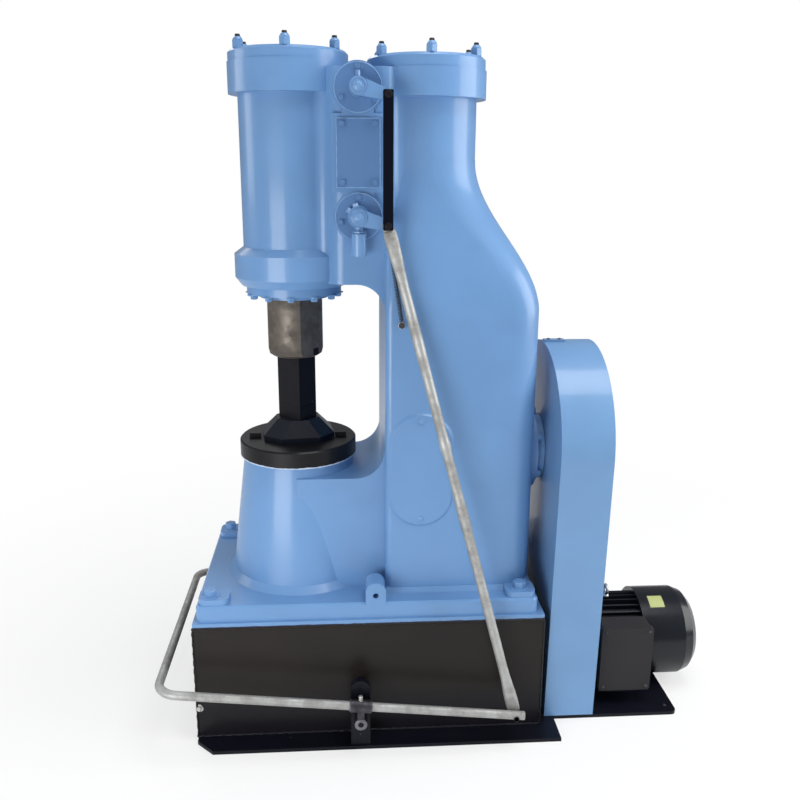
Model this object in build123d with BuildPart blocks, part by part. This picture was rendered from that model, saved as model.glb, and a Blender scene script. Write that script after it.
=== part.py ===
import os
from math import cos, sin, pi, radians, degrees, atan2
from build123d import *

os.makedirs("parts", exist_ok=True)

# Pneumatic forging hammer. X runs from the anvil in front to the belt drive behind,
# Z is up, and the origin is on the floor below the ram's axis.

# Clearances
seat_gap = 0.3
pin_clearance = 0.05
slide_clearance = 0.3

# Welded steel base
base_front_x = -215.0
base_rear_x = 515.0
base_half_width = 208.0
base_wall = 8.0
floor_plate = 8.0
base_top_z = 261.0
floor_plate_reach = 51.0
floor_plate_rear_reach = 37.0
floor_plate_corner_cut = 36.0
top_plate = 11.0
motor_plate_length = 280.0
motor_plate_half_width = 182.0
motor_plate_corner = 12.0
base_middle_x = (base_front_x + base_rear_x) / 2
floor_plate_rear_x = base_rear_x + floor_plate_rear_reach
floor_plate_half_width = base_half_width + floor_plate_reach

# Foot of the casting
foot_bottom_z = base_top_z + top_plate
foot_thickness = 35.0
foot_front_x = -208.0
foot_rear_x = 502.0
foot_half_width = 202.0
foot_corner = 14.0
foot_edge = 5.0
foot_edge_angle = 35.0
foot_pad_height = 12.0
foot_pad_length = 62.0
foot_pad_width = 54.0
lug_x = 161.0
lug_width = 42.0
lug_height = 62.0
lug_depth = 48.0
lug_rise = 12.0
lug_hole_radius = 6.0
lug_hole_depth = 20.0
lug_hole_rise = 15.0
foot_top_z = foot_bottom_z + foot_thickness

# Anvil pedestal, ring and dies
pedestal_base_radius = 149.0
pedestal_flare_radius = 163.0
pedestal_flare_height = 14.0
pedestal_top_radius = 117.0
pedestal_top_z = 573.0
ring_radius = 125.0
ring_height = 36.0
ring_chamfer = 3.0
holder_base_width = 150.0
holder_base_depth = 130.0
holder_corner_cut = 34.0
holder_turn = 8.0
holder_foot_height = 12.0
holder_height = 45.0
holder_top_width = 88.0
holder_top_cut = 26.0
die_length = 67.0
die_width = 47.0
die_turn = -45.0
lower_die_height = 28.0
upper_die_height = 108.0
key_width = 14.0
key_height = 10.0
key_end = 24.0
key_x = 92.0
key_y = -8.0
ring_top_z = pedestal_top_z + ring_height
holder_top_z = ring_top_z + holder_height
die_contact_z = holder_top_z + lower_die_height
ram_bottom_z = die_contact_z + upper_die_height

# Column behind the throat
column_front_x = 183.0
column_rear_x = 497.0
column_half_width = 154.0
column_front_corner = 14.0
column_rear_corner = 60.0
column_shoulder_z = 890.0
plinth_reach = 9.0
plinth_height = 10.0
plinth_front_reach = 4.0
web_half_width = 125.0
web_drop = 22.0
web_fillet = 60.0
throat_top_z = 951.0
throat_top_fillet = 55.0
bridge_height = 89.0
shoulder_top_z = 1190.0
shoulder_steps = 5
shoulder_flat = 3.0
web_top_z = pedestal_top_z - web_drop

# Work cylinder in front and compression cylinder behind it
barrel_radius = 101.0
work_flange_radius = 119.0
work_flange_height = 58.5
work_joint_z = 1369.5
work_cover_thickness = 21.5
work_cover_radius = 117.0
lower_flange_radius = 120.0
lower_flange_bottom_radius = 107.0
lower_flange_z = 940.0
lower_flange_lip = 17.0
lower_flange_height = 64.0
lower_flange_shoulder = 14.0
compression_x = 271.0
compression_flange_radius = 119.5
compression_flange_height = 53.0
compression_joint_z = 1357.5
compression_cover_thickness = 24.5
cover_edge = 5.0
stud_count = 6
stud_reach = 105.0
stud_turn = 30.0
stud_radius = 6.0
stud_sides = 12
stud_height = 24.0
nut_across_flats = 19.0
nut_height = 13.0
gland_radius = 97.5
gland_thickness = 17.0
gland_boss_radius = 71.0
gland_boss_length = 9.0

# Ram
ram_radius = 57.5
ram_top_z = 1150.0
ram_flat_distance = 49.0
ram_end_rounding = 10.0

# Valve chest between the cylinders
chest_front_x = 92.0
chest_rear_x = 190.0
chest_half_width = 111.0
chest_corner = 30.0
chest_root = 25.0
chest_sink = 0.5
bridge_front_x = chest_front_x + chest_corner
valve_x = 133.0
upper_valve_z = 1317.0
lower_valve_z = 1083.0
middle_cover_z = (upper_valve_z + lower_valve_z) / 2
valve_spacing = upper_valve_z - lower_valve_z
pad_radius = 48.0
pad_margin = 8.0
pad_neck = 60.0
pad_depth = 6.0
pad_sink = 12.0
chest_drop = 2.0
valve_cover_radius = 45.0
valve_cover_depth = 8.0
middle_cover_width = 84.0
middle_cover_height = 128.0
middle_cover_depth = 6.0
middle_cover_corner = 8.0
shaft_radius = 9.0
shaft_length = 44.0
shaft_hole_depth = 34.0


# Valve levers, link and return spring
arm_angle = -15.5
arm_reach = 56.0
arm_hub_radius = 17.0
arm_thickness = 12.0
arm_tip_radius = 10.0
arm_stand_off = 22.0
arm_side_gap = 1.0
link_width = 19.0
link_thickness = 6.0
link_end = 8.0
link_corner = 3.0
link_pin_radius = 5.0
pin_end = 2.0
shaft_end = 3.0
spring_bolt_x = 214.0
spring_bolt_z = 879.0
spring_bolt_radius = 6.0
spring_bolt_length = 14.0
spring_radius = 4.5
spring_gap = 1.5
hook_radius = 1.6
hook_length = 36.0
socket_hub_radius = 21.0
socket_hub_length = 15.0
socket_radius = 14.0
socket_length = 42.0
socket_bore_radius = 8.0
socket_bore_depth = 34.0
socket_neck_radius = 8.0
socket_neck_length = 10.0
socket_neck_sink = 3.0

# Pull rod and treadle
treadle_side_gap = 66.0
treadle_pivot_x = 127.0
treadle_pivot_z = 78.0
treadle_bar_radius = 9.0
treadle_front_x = -282.0
treadle_front_z = 157.0
treadle_rear_x = 466.0
treadle_rear_z = 77.0
treadle_bend = 40.0
treadle_y = base_half_width + treadle_side_gap
rod_radius = 9.5
rod_bottom_x = 448.0
rod_bottom_z = 76.0
rod_side_gap = 1.0
rod_eye_gap = 3.0
rod_top_flat_length = 76.0
rod_foot_flat_length = 66.0
rod_flat_thickness = 7.0
rod_flat_width = 21.0
bush_radius = 13.5
bush_hole_radius = 5.0
bush_length = 24.0
sleeve_radius = 13.5
sleeve_length = 42.0
sleeve_web = 14.0
bracket_width = 40.0
bracket_height = 150.0
bracket_plate = 12.0
bracket_web = 10.0
bracket_gap = 5.5

# Crankcase cover, bearing housing, belt guard and motor
crank_z = 577.0
oval_x = 256.0
oval_width = 122.0
oval_height = 232.0
oval_depth = 5.0
bearing_radius = 90.0
bearing_length = 34.0
bearing_flange_length = 16.0
bearing_boss_radius = 72.0
crank_shaft_radius = 22.0
crank_shaft_end_x = 600.0
guard_front_x = 532.0
guard_depth = 109.0
guard_radius = 207.0
guard_centre_z = 606.5
guard_foot_half_width = 182.0
guard_sheet = 2.0
guard_shaft_hole = 40.0
guard_motor_hole = 26.0
strap_length = 44.0
strap_width = 20.0
strap_thickness = 4.0
motor_front_x = 660.0
motor_axis_z = 108.0
motor_radius = 80.0
motor_length = 120.0
fin_count = 32
fin_height = 12.0
fin_thickness = 3.2
motor_shield_radius = 88.0
motor_shield_length = 9.0
motor_shaft_radius = 14.0
motor_shaft_length = 38.0
cowl_radius = 101.0
cowl_length = 128.0
cowl_rise = 1.0
cowl_shoulder = 20.0
cowl_shoulder_angle = 22.0
cowl_rim = 12.0
cowl_rim_angle = 50.0
motor_foot_length = 90.0
motor_foot_width = 44.0
motor_foot_thickness = 12.0
motor_foot_y = 80.0
motor_foot_web = 14.0
motor_foot_web_y = 68.0
motor_foot_web_top_z = 70.0
terminal_width = 112.0
terminal_height = 150.0
terminal_depth = 56.0
terminal_rise = 12.0
terminal_lid = 12.0
terminal_lid_reach = 2.0
terminal_corner = 6.0
terminal_pad_width = 84.0
terminal_pad_height = 100.0


def save(part, name):
    part.label = name
    export_step(part, f"parts/{name}.step")


# Plane on one side of the machine, near (-1) or far (1), that faces outwards
def side_face(side, x, y, z):
    return Plane(origin=(x, side * y, z), x_dir=(-side, 0, 0), z_dir=(0, side, 0))


# Plane on the near side that faces the operator
def near_face(x, y, z):
    return side_face(-1, x, y, z)


# Floor plate that carries the whole machine
with BuildPart() as base_floor_plate:
    with BuildSketch(Plane.XY):
        with BuildLine():
            Polyline(
                (base_front_x, -(floor_plate_half_width - floor_plate_corner_cut)),
                (base_front_x + floor_plate_corner_cut, -floor_plate_half_width),
                (floor_plate_rear_x, -floor_plate_half_width),
                (floor_plate_rear_x, floor_plate_half_width),
                (base_front_x + floor_plate_corner_cut, floor_plate_half_width),
                (base_front_x, floor_plate_half_width - floor_plate_corner_cut),
                close=True,
            )
        make_face()
    extrude(amount=floor_plate)
save(base_floor_plate.part, "base_floor_plate")

# Box welded up from plate, closed by the floor plate and the top plate
with BuildPart() as base_box:
    with BuildSketch(Plane.XY.offset(floor_plate)):
        with Locations((base_middle_x, 0)):
            Rectangle(base_rear_x - base_front_x, 2 * base_half_width)
            Rectangle(
                base_rear_x - base_front_x - 2 * base_wall,
                2 * (base_half_width - base_wall),
                mode=Mode.SUBTRACT,
            )
    extrude(amount=base_top_z - floor_plate)
save(base_box.part, "base_box")

with BuildPart() as base_top_plate:
    with BuildSketch(Plane.XY.offset(base_top_z)):
        with Locations((base_middle_x, 0)):
            Rectangle(base_rear_x - base_front_x, 2 * base_half_width)
    extrude(amount=top_plate)
save(base_top_plate.part, "base_top_plate")

with BuildPart() as motor_plate:
    with BuildSketch(Plane.XY):
        with Locations((floor_plate_rear_x + motor_plate_length / 2, 0)):
            Rectangle(motor_plate_length, 2 * motor_plate_half_width)
    extrude(amount=floor_plate)
    fillet(motor_plate.edges().filter_by(Axis.Z).group_by(Axis.X)[-1], motor_plate_corner)
save(motor_plate.part, "motor_plate")


# Rounded column section between two X planes at one height
def column_section(z, front_x, rear_x, half_width, front_corner, rear_corner):
    with BuildSketch(Plane.XY.offset(z)) as section:
        with BuildLine():
            FilletPolyline(
                (front_x, 0),
                (front_x, -half_width),
                (rear_x, -half_width),
                (rear_x, 0),
                radius=[front_corner, rear_corner],
            )
            FilletPolyline(
                (rear_x, 0),
                (rear_x, half_width),
                (front_x, half_width),
                (front_x, 0),
                radius=[rear_corner, front_corner],
            )
        make_face()
    return section.sketch


column_base = (column_front_x, column_rear_x, column_half_width, column_front_corner, column_rear_corner)
barrel_corner = barrel_radius - shoulder_flat
barrel_box = (
    compression_x - barrel_radius,
    compression_x + barrel_radius,
    barrel_radius,
    barrel_corner,
    barrel_corner,
)


# Section of the shoulder, which eases from the column below to the round barrel above
def shoulder_section(step):
    height = step / shoulder_steps
    share = (1 - cos(pi * height)) / 2
    z = column_shoulder_z + height * (shoulder_top_z - column_shoulder_z)
    return column_section(z, *[low + share * (high - low) for low, high in zip(column_base, barrel_box)])


# Section of the valve chest, which runs in to both barrels with slopes and filleted roots
def chest_section(z):
    with BuildSketch(Plane.XY.offset(z)) as section:
        with BuildLine():
            Polyline(
                (chest_front_x - chest_half_width, 0),
                (chest_front_x, -chest_half_width),
                (chest_rear_x, -chest_half_width),
                (chest_rear_x + chest_half_width, 0),
                (chest_rear_x, chest_half_width),
                (chest_front_x, chest_half_width),
                close=True,
            )
        make_face()
        with Locations((0, 0), (compression_x, 0)):
            Circle(barrel_radius - chest_sink)
        by_reach = sorted(section.vertices(), key=lambda corner: abs(corner.Y))
        fillet(by_reach[-4:], chest_corner)
        by_reach = sorted(section.vertices(), key=lambda corner: abs(corner.Y))
        fillet(by_reach[-12:-8], chest_root)
    return section.sketch


# One iron casting: foot, pedestal, column, valve chest and both cylinders
with BuildPart() as frame_casting:
    with BuildSketch(Plane.XY.offset(foot_bottom_z)):
        with Locations(((foot_front_x + foot_rear_x) / 2, 0)):
            RectangleRounded(foot_rear_x - foot_front_x, 2 * foot_half_width, foot_corner)
    extrude(amount=foot_thickness - foot_edge)
    extrude(frame_casting.faces().sort_by(Axis.Z)[-1], amount=foot_edge, taper=foot_edge_angle)
    # raised pads for the holding-down bolts
    with BuildSketch(Plane.XY.offset(foot_top_z)):
        for side in (-1, 1):
            for pad_x in (
                foot_front_x + foot_edge + foot_pad_length / 2,
                foot_rear_x - foot_edge - foot_pad_length / 2,
            ):
                with Locations((pad_x, side * (foot_half_width - foot_edge - foot_pad_width / 2))):
                    RectangleRounded(foot_pad_length, foot_pad_width, foot_corner)
    extrude(amount=foot_pad_height)
    # tapered pedestal under the anvil ring
    with BuildSketch(Plane.XZ):
        with BuildLine():
            Polyline(
                (0, foot_top_z),
                (pedestal_flare_radius, foot_top_z),
                (pedestal_base_radius, foot_top_z + pedestal_flare_height),
                (pedestal_top_radius, pedestal_top_z),
                (0, pedestal_top_z),
                close=True,
            )
        make_face()
    revolve(axis=Axis.Z)
    # web between the pedestal and the column
    with BuildSketch(Plane.XZ.offset(-web_half_width)):
        with BuildLine():
            Polyline(
                (0, foot_top_z),
                (column_front_x + column_front_corner, foot_top_z),
                (column_front_x + column_front_corner, web_top_z + web_fillet),
                (column_front_x, web_top_z + web_fillet),
            )
            RadiusArc(
                (column_front_x, web_top_z + web_fillet),
                (column_front_x - web_fillet, web_top_z),
                web_fillet,
            )
            Polyline((column_front_x - web_fillet, web_top_z), (0, web_top_z), (0, foot_top_z))
        make_face()
    extrude(amount=2 * web_half_width)
    # column and shoulder
    add(extrude(column_section(foot_top_z, *column_base), amount=column_shoulder_z - foot_top_z))
    loft([shoulder_section(step) for step in range(shoulder_steps + 1)])
    # low plinth round the foot of the column
    with BuildSketch(Plane.XY.offset(foot_top_z)):
        with Locations(((column_front_x - plinth_front_reach + column_rear_x) / 2, 0)):
            Rectangle(
                column_rear_x - column_front_x + plinth_front_reach,
                2 * (column_half_width + plinth_reach),
            )
    extrude(amount=plinth_height, taper=foot_edge_angle)
    # compression cylinder
    with BuildSketch(Plane.XY.offset(shoulder_top_z)):
        with Locations((compression_x, 0)):
            Circle(barrel_radius)
    extrude(amount=compression_joint_z - shoulder_top_z)
    with BuildSketch(Plane.XY.offset(compression_joint_z)):
        with Locations((compression_x, 0)):
            Circle(compression_flange_radius)
    extrude(amount=-compression_flange_height)
    # work cylinder with its two flanges
    with BuildSketch(Plane.XZ):
        with BuildLine():
            Polyline(
                (0, lower_flange_z),
                (lower_flange_bottom_radius, lower_flange_z),
                (lower_flange_radius, lower_flange_z + lower_flange_lip),
                (lower_flange_radius, lower_flange_z + lower_flange_height),
                (barrel_radius, lower_flange_z + lower_flange_height + lower_flange_shoulder),
                (barrel_radius, work_joint_z - work_flange_height),
                (work_flange_radius, work_joint_z - work_flange_height),
                (work_flange_radius, work_joint_z),
                (0, work_joint_z),
                close=True,
            )
        make_face()
    revolve(axis=Axis.Z)
    # valve chest between the barrels, and the bridge from it to the column over the throat
    add(extrude(chest_section(throat_top_z), amount=compression_joint_z - chest_drop - throat_top_z))
    with BuildSketch(Plane.XZ.offset(-chest_half_width)):
        with BuildLine():
            Polyline(
                (bridge_front_x, throat_top_z + bridge_height),
                (bridge_front_x, throat_top_z),
                (column_front_x - throat_top_fillet, throat_top_z),
            )
            RadiusArc(
                (column_front_x - throat_top_fillet, throat_top_z),
                (column_front_x, throat_top_z - throat_top_fillet),
                throat_top_fillet,
            )
            Polyline(
                (column_front_x, throat_top_z - throat_top_fillet),
                (compression_x, throat_top_z - throat_top_fillet),
                (compression_x, throat_top_z + bridge_height),
                (bridge_front_x, throat_top_z + bridge_height),
            )
        make_face()
    extrude(amount=2 * chest_half_width)
    # machined pads for the valve covers on both sides
    for side in (-1, 1):
        with BuildSketch(side_face(side, valve_x, chest_half_width - pad_sink, middle_cover_z)):
            with Locations((0, valve_spacing / 2), (0, -valve_spacing / 2)):
                Circle(pad_radius)
            Rectangle(pad_neck, valve_spacing)
            Rectangle(middle_cover_width + 2 * pad_margin, middle_cover_height + 2 * pad_margin)
        extrude(amount=pad_depth + pad_sink)
    # bore of the work cylinder
    with BuildSketch(Plane.XY.offset(lower_flange_z)):
        Circle(ram_radius + slide_clearance)
    extrude(amount=work_joint_z - lower_flange_z, mode=Mode.SUBTRACT)
    # valve shaft holes on the operating side
    with BuildSketch(Plane.XZ.offset(chest_half_width + pad_depth)):
        with Locations((valve_x, upper_valve_z), (valve_x, lower_valve_z)):
            Circle(shaft_radius + pin_clearance)
    extrude(amount=-shaft_hole_depth, mode=Mode.SUBTRACT)
    # lug with a cross hole on each side of the foot
    for side in (-1, 1):
        with BuildSketch(side_face(side, lug_x, foot_half_width, foot_top_z + lug_rise)):
            SlotOverall(lug_height, lug_width, rotation=90)
        extrude(amount=-lug_depth)
        with BuildSketch(side_face(side, lug_x, foot_half_width, foot_top_z + lug_hole_rise)):
            Circle(lug_hole_radius)
        extrude(amount=-lug_hole_depth, mode=Mode.SUBTRACT)
save(frame_casting.part, "frame_casting")

# Domed edge covers on both cylinders
with BuildPart() as work_cylinder_cover:
    with BuildSketch(Plane.XY.offset(work_joint_z)):
        Circle(work_cover_radius)
    extrude(amount=work_cover_thickness)
    chamfer(work_cylinder_cover.edges().group_by(Axis.Z)[-1], cover_edge)
save(work_cylinder_cover.part, "work_cylinder_cover")

with BuildPart() as compression_cylinder_cover:
    with BuildSketch(Plane.XY.offset(compression_joint_z)):
        with Locations((compression_x, 0)):
            Circle(work_cover_radius)
    extrude(amount=compression_cover_thickness)
    chamfer(compression_cylinder_cover.edges().group_by(Axis.Z)[-1], cover_edge)
save(compression_cylinder_cover.part, "compression_cylinder_cover")


# Nuts on the studs that stand up round a cylinder cover
def cover_nuts(centre_x, face_z):
    with BuildPart() as nuts:
        with BuildSketch(Plane.XY.offset(face_z)):
            with Locations((centre_x, 0)):
                with PolarLocations(stud_reach, stud_count, start_angle=stud_turn):
                    RegularPolygon(nut_across_flats / 2, 6, major_radius=False)
        extrude(amount=nut_height)
        with BuildSketch(Plane.XY.offset(face_z + nut_height)):
            with Locations((centre_x, 0)):
                with PolarLocations(stud_reach, stud_count, start_angle=stud_turn):
                    RegularPolygon(stud_radius, stud_sides)
        extrude(amount=stud_height - nut_height, taper=8)
    return nuts.part


save(cover_nuts(0, work_joint_z + work_cover_thickness), "work_cover_nuts")
save(cover_nuts(compression_x, compression_joint_z + compression_cover_thickness), "compression_cover_nuts")


# Round ram section with one flat, grown by a clearance
def ram_section(z, grow):
    with BuildSketch(Plane.XY.offset(z)) as section:
        Circle(ram_radius + grow)
        with Locations(Location((0, 0, 0), (0, 0, die_turn))):
            with Locations((ram_flat_distance + grow + ram_radius, 0)):
                Rectangle(2 * ram_radius, 4 * ram_radius, mode=Mode.SUBTRACT)
    return section.sketch


gland_bottom_z = lower_flange_z - gland_thickness
with BuildPart() as gland_plate:
    with BuildSketch(Plane.XY.offset(gland_bottom_z)):
        Circle(gland_radius)
    extrude(amount=gland_thickness)
    with BuildSketch(Plane.XY.offset(gland_bottom_z)):
        Circle(gland_boss_radius)
    extrude(amount=-gland_boss_length)
    with BuildSketch(Plane.XY.offset(gland_bottom_z - gland_boss_length)):
        add(ram_section(0, slide_clearance))
    extrude(amount=gland_thickness + gland_boss_length, mode=Mode.SUBTRACT)
save(gland_plate.part, "gland_plate")

with BuildPart() as ram:
    with BuildSketch(Plane.XZ):
        with BuildLine():
            Polyline(
                (0, ram_bottom_z),
                (ram_radius - ram_end_rounding, ram_bottom_z),
                (ram_radius - ram_end_rounding / 4, ram_bottom_z + ram_end_rounding / 2),
                (ram_radius, ram_bottom_z + 1.5 * ram_end_rounding),
                (ram_radius, ram_top_z),
                (0, ram_top_z),
                close=True,
            )
        make_face()
    revolve(axis=Axis.Z)
    with BuildSketch(Plane.XY.offset(ram_bottom_z)):
        with Locations(Location((0, 0, 0), (0, 0, die_turn))):
            with Locations((ram_flat_distance + ram_radius, 0)):
                Rectangle(2 * ram_radius, 4 * ram_radius)
    extrude(amount=ram_top_z - ram_bottom_z, mode=Mode.SUBTRACT)
save(ram.part, "ram")

with BuildPart() as upper_die:
    with BuildSketch(Plane.XY.offset(die_contact_z + seat_gap)):
        Rectangle(die_length, die_width, rotation=die_turn)
    extrude(amount=ram_bottom_z - die_contact_z - seat_gap)
save(upper_die.part, "upper_die")

with BuildPart() as lower_die:
    with BuildSketch(Plane.XY.offset(holder_top_z)):
        Rectangle(die_length, die_width, rotation=die_turn)
    extrude(amount=die_contact_z - holder_top_z)
save(lower_die.part, "lower_die")


# Square outline with cut corners
def cut_corner_rectangle(width, depth, cut):
    x, y = width / 2, depth / 2
    with BuildLine() as outline:
        Polyline(
            (-x + cut, -y), (x - cut, -y), (x, -y + cut), (x, y - cut),
            (x - cut, y), (-x + cut, y), (-x, y - cut), (-x, -y + cut),
            close=True,
        )
    return outline.line


holder_foot_top_z = ring_top_z + holder_foot_height


# Level plane turned with the die holder
def holder_plane(z):
    return Plane(origin=(0, 0, z), x_dir=(cos(radians(holder_turn)), sin(radians(holder_turn)), 0))


with BuildPart() as die_holder:
    with BuildSketch(holder_plane(ring_top_z)):
        with BuildLine():
            add(cut_corner_rectangle(holder_base_width, holder_base_depth, holder_corner_cut))
        make_face()
    extrude(amount=holder_foot_height)
    with BuildSketch(holder_plane(holder_foot_top_z)):
        with BuildLine():
            add(cut_corner_rectangle(holder_base_width, holder_base_depth, holder_corner_cut))
        make_face()
    with BuildSketch(holder_plane(holder_top_z)):
        with BuildLine():
            add(cut_corner_rectangle(holder_top_width, holder_top_width, holder_top_cut))
        make_face()
    loft(ruled=True)
save(die_holder.part, "die_holder")

with BuildPart() as anvil_ring:
    with BuildSketch(Plane.XY.offset(pedestal_top_z)):
        Circle(ring_radius)
    extrude(amount=ring_height)
    chamfer(anvil_ring.edges().group_by(Axis.Z)[-1], ring_chamfer)
save(anvil_ring.part, "anvil_ring")

# Taper key ends that show on both sides of the holder
with BuildPart() as die_keys:
    for side in (-1, 1):
        with BuildSketch(Plane.XY.offset(ring_top_z)):
            with Locations((side * key_x, key_y)):
                Rectangle(key_end, key_width)
        extrude(amount=key_height)
save(die_keys.part, "die_keys")

pad_face_y = chest_half_width + pad_depth


# Round cover over the end of a rotary valve
def valve_cover(z, side, bored):
    with BuildPart() as cover:
        with BuildSketch(side_face(side, valve_x, pad_face_y, z)):
            Circle(valve_cover_radius)
            if bored:
                Circle(shaft_radius + pin_clearance, mode=Mode.SUBTRACT)
        extrude(amount=valve_cover_depth)
    return cover.part


save(valve_cover(upper_valve_z, -1, True), "upper_valve_cover")
save(valve_cover(lower_valve_z, -1, True), "lower_valve_cover")


# Rectangular cover between the two valves
def middle_cover(side):
    with BuildPart() as cover:
        with BuildSketch(side_face(side, valve_x, pad_face_y, middle_cover_z)):
            RectangleRounded(middle_cover_width, middle_cover_height, middle_cover_corner)
        extrude(amount=middle_cover_depth)
    return cover.part


save(middle_cover(-1), "middle_cover")

# Blank covers on the far side, clear of each other
with BuildPart() as far_valve_covers:
    add(valve_cover(upper_valve_z, 1, False))
    add(valve_cover(lower_valve_z, 1, False))
    add(middle_cover(1))
save(far_valve_covers.part, "far_valve_covers")

cover_face_y = pad_face_y + valve_cover_depth
arm_inner_y = cover_face_y + arm_stand_off
arm_outer_y = arm_inner_y + arm_thickness
pin_dx = arm_reach * cos(radians(arm_angle))
pin_dz = arm_reach * sin(radians(arm_angle))
rod_flat_y = arm_outer_y + arm_side_gap
link_inner_y = rod_flat_y + rod_flat_thickness + arm_side_gap
link_outer_y = link_inner_y + link_thickness
upper_pin = (valve_x + pin_dx, upper_valve_z + pin_dz)
lower_pin = (valve_x + pin_dx, lower_valve_z + pin_dz)


# Shaft end of a rotary valve, running in its cover and the casting
def valve_shaft(z):
    with BuildPart() as shaft:
        with BuildSketch(near_face(valve_x, arm_outer_y + shaft_end, z)):
            Circle(shaft_radius)
        extrude(amount=-(shaft_length + arm_stand_off))
    return shaft.part


save(valve_shaft(upper_valve_z), "upper_valve_shaft")
save(valve_shaft(lower_valve_z), "lower_valve_shaft")


# Tapered arm with its link pin in front and a hub of the given length behind
def valve_arm(z, hub_length):
    with BuildPart() as arm:
        with BuildSketch(near_face(valve_x, arm_inner_y, z)):
            with BuildLine():
                hub = CenterArc((0, 0), arm_hub_radius, arm_angle + 65, 230)
                tip = CenterArc((pin_dx, pin_dz), arm_tip_radius, arm_angle - 80, 160)
                Line(hub @ 0, tip @ 1)
                Line(hub @ 1, tip @ 0)
            make_face()
        extrude(amount=arm_thickness)
        with BuildSketch(near_face(valve_x, arm_inner_y - hub_length, z)):
            Circle(arm_hub_radius)
        extrude(amount=hub_length)
        with BuildSketch(near_face(valve_x, arm_inner_y - hub_length, z)):
            Circle(shaft_radius + pin_clearance)
        extrude(amount=hub_length + arm_thickness, mode=Mode.SUBTRACT)
        with BuildSketch(near_face(valve_x + pin_dx, arm_outer_y, z + pin_dz)):
            Circle(link_pin_radius)
        extrude(amount=link_outer_y - arm_outer_y + pin_end)
    return arm.part


save(valve_arm(upper_valve_z, arm_stand_off - arm_side_gap), "upper_valve_arm")
save(valve_arm(lower_valve_z, arm_stand_off - 2 * arm_side_gap - socket_hub_length), "lower_valve_arm")

with BuildPart() as valve_link:
    with BuildSketch(near_face(upper_pin[0], link_inner_y, 0)):
        with Locations((0, (upper_pin[1] + lower_pin[1]) / 2)):
            RectangleRounded(link_width, upper_pin[1] - lower_pin[1] + 2 * link_end, link_corner)
        with Locations((0, upper_pin[1]), (0, lower_pin[1])):
            Circle(link_pin_radius + pin_clearance, mode=Mode.SUBTRACT)
    extrude(amount=link_thickness)
save(valve_link.part, "valve_link")

# Clamp hub on the lower shaft with a socket for a hand lever
hub_back_y = cover_face_y + arm_side_gap
socket_y = hub_back_y + socket_radius
socket_top_z = lower_valve_z - socket_hub_radius - socket_neck_length
with BuildPart() as lever_socket:
    with BuildSketch(near_face(valve_x, hub_back_y, lower_valve_z)):
        Circle(socket_hub_radius)
        Circle(shaft_radius + pin_clearance, mode=Mode.SUBTRACT)
    extrude(amount=socket_hub_length)
    with BuildSketch(Plane(origin=(valve_x, -socket_y, socket_top_z), z_dir=(0, 0, 1))):
        Circle(socket_neck_radius)
    extrude(amount=socket_neck_length + socket_neck_sink)
    with BuildSketch(Plane(origin=(valve_x, -socket_y, socket_top_z), z_dir=(0, 0, -1))):
        Circle(socket_radius)
    extrude(amount=socket_length)
    with BuildSketch(Plane(origin=(valve_x, -socket_y, socket_top_z - socket_length), z_dir=(0, 0, 1))):
        Circle(socket_bore_radius)
    extrude(amount=socket_bore_depth, mode=Mode.SUBTRACT)
save(lever_socket.part, "lever_socket")

# Pull rod from the treadle up to the lower valve arm, flattened at both ends
rod_top_y = rod_flat_y + rod_flat_thickness / 2
rod_foot_y = treadle_y - treadle_bar_radius - rod_side_gap - rod_flat_thickness / 2
rod_low_end = Vector(rod_bottom_x, -rod_foot_y, rod_bottom_z)
rod_high_end = Vector(lower_pin[0], -rod_top_y, lower_pin[1])
rod_line = (rod_high_end - rod_low_end).normalized()
rod_turn = degrees(atan2(rod_line.Z, rod_line.X))
with BuildPart() as pull_rod:
    with BuildSketch(Plane(origin=rod_low_end + rod_line * rod_foot_flat_length / 2, z_dir=rod_line)):
        Circle(rod_radius)
    extrude(amount=(rod_high_end - rod_low_end).length - (rod_foot_flat_length + rod_top_flat_length) / 2)
    with BuildSketch(near_face(lower_pin[0], rod_flat_y, lower_pin[1])):
        with PolarLocations(rod_top_flat_length / 2 - rod_flat_width / 2, 1, rod_turn + 180):
            SlotOverall(rod_top_flat_length, rod_flat_width)
        Circle(link_pin_radius + rod_eye_gap, mode=Mode.SUBTRACT)
    extrude(amount=rod_flat_thickness)
    with BuildSketch(near_face(rod_bottom_x, rod_foot_y - rod_flat_thickness / 2, rod_bottom_z)):
        with PolarLocations(rod_foot_flat_length / 2 - rod_flat_width / 2, 1, rod_turn):
            SlotOverall(rod_foot_flat_length, rod_flat_width)
        Circle(link_pin_radius + pin_clearance, mode=Mode.SUBTRACT)
    extrude(amount=rod_flat_thickness)
save(pull_rod.part, "pull_rod")

# Treadle bar bent round the front of the base
bar_rise = treadle_front_z - treadle_rear_z
bar_run = treadle_rear_x - treadle_front_x
bar_direction = Vector(-bar_run, 0, bar_rise)
bar_points = [
    (treadle_rear_x, -treadle_y, treadle_rear_z),
    (treadle_front_x, -treadle_y, treadle_front_z),
    (treadle_front_x, treadle_y, treadle_front_z),
    (treadle_rear_x, treadle_y, treadle_rear_z),
]
with BuildPart() as treadle_bar:
    with BuildLine():
        FilletPolyline(*bar_points, radius=treadle_bend)
    with BuildSketch(Plane(origin=bar_points[0], z_dir=bar_direction)):
        Circle(treadle_bar_radius)
    sweep()
    with BuildSketch(near_face(rod_bottom_x, treadle_y - treadle_bar_radius, rod_bottom_z)):
        Circle(link_pin_radius + pin_clearance)
    extrude(amount=2 * treadle_bar_radius, mode=Mode.SUBTRACT)
save(treadle_bar.part, "treadle_bar")

bar_z_at_pivot = treadle_rear_z + bar_rise * (treadle_rear_x - treadle_pivot_x) / bar_run


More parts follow.
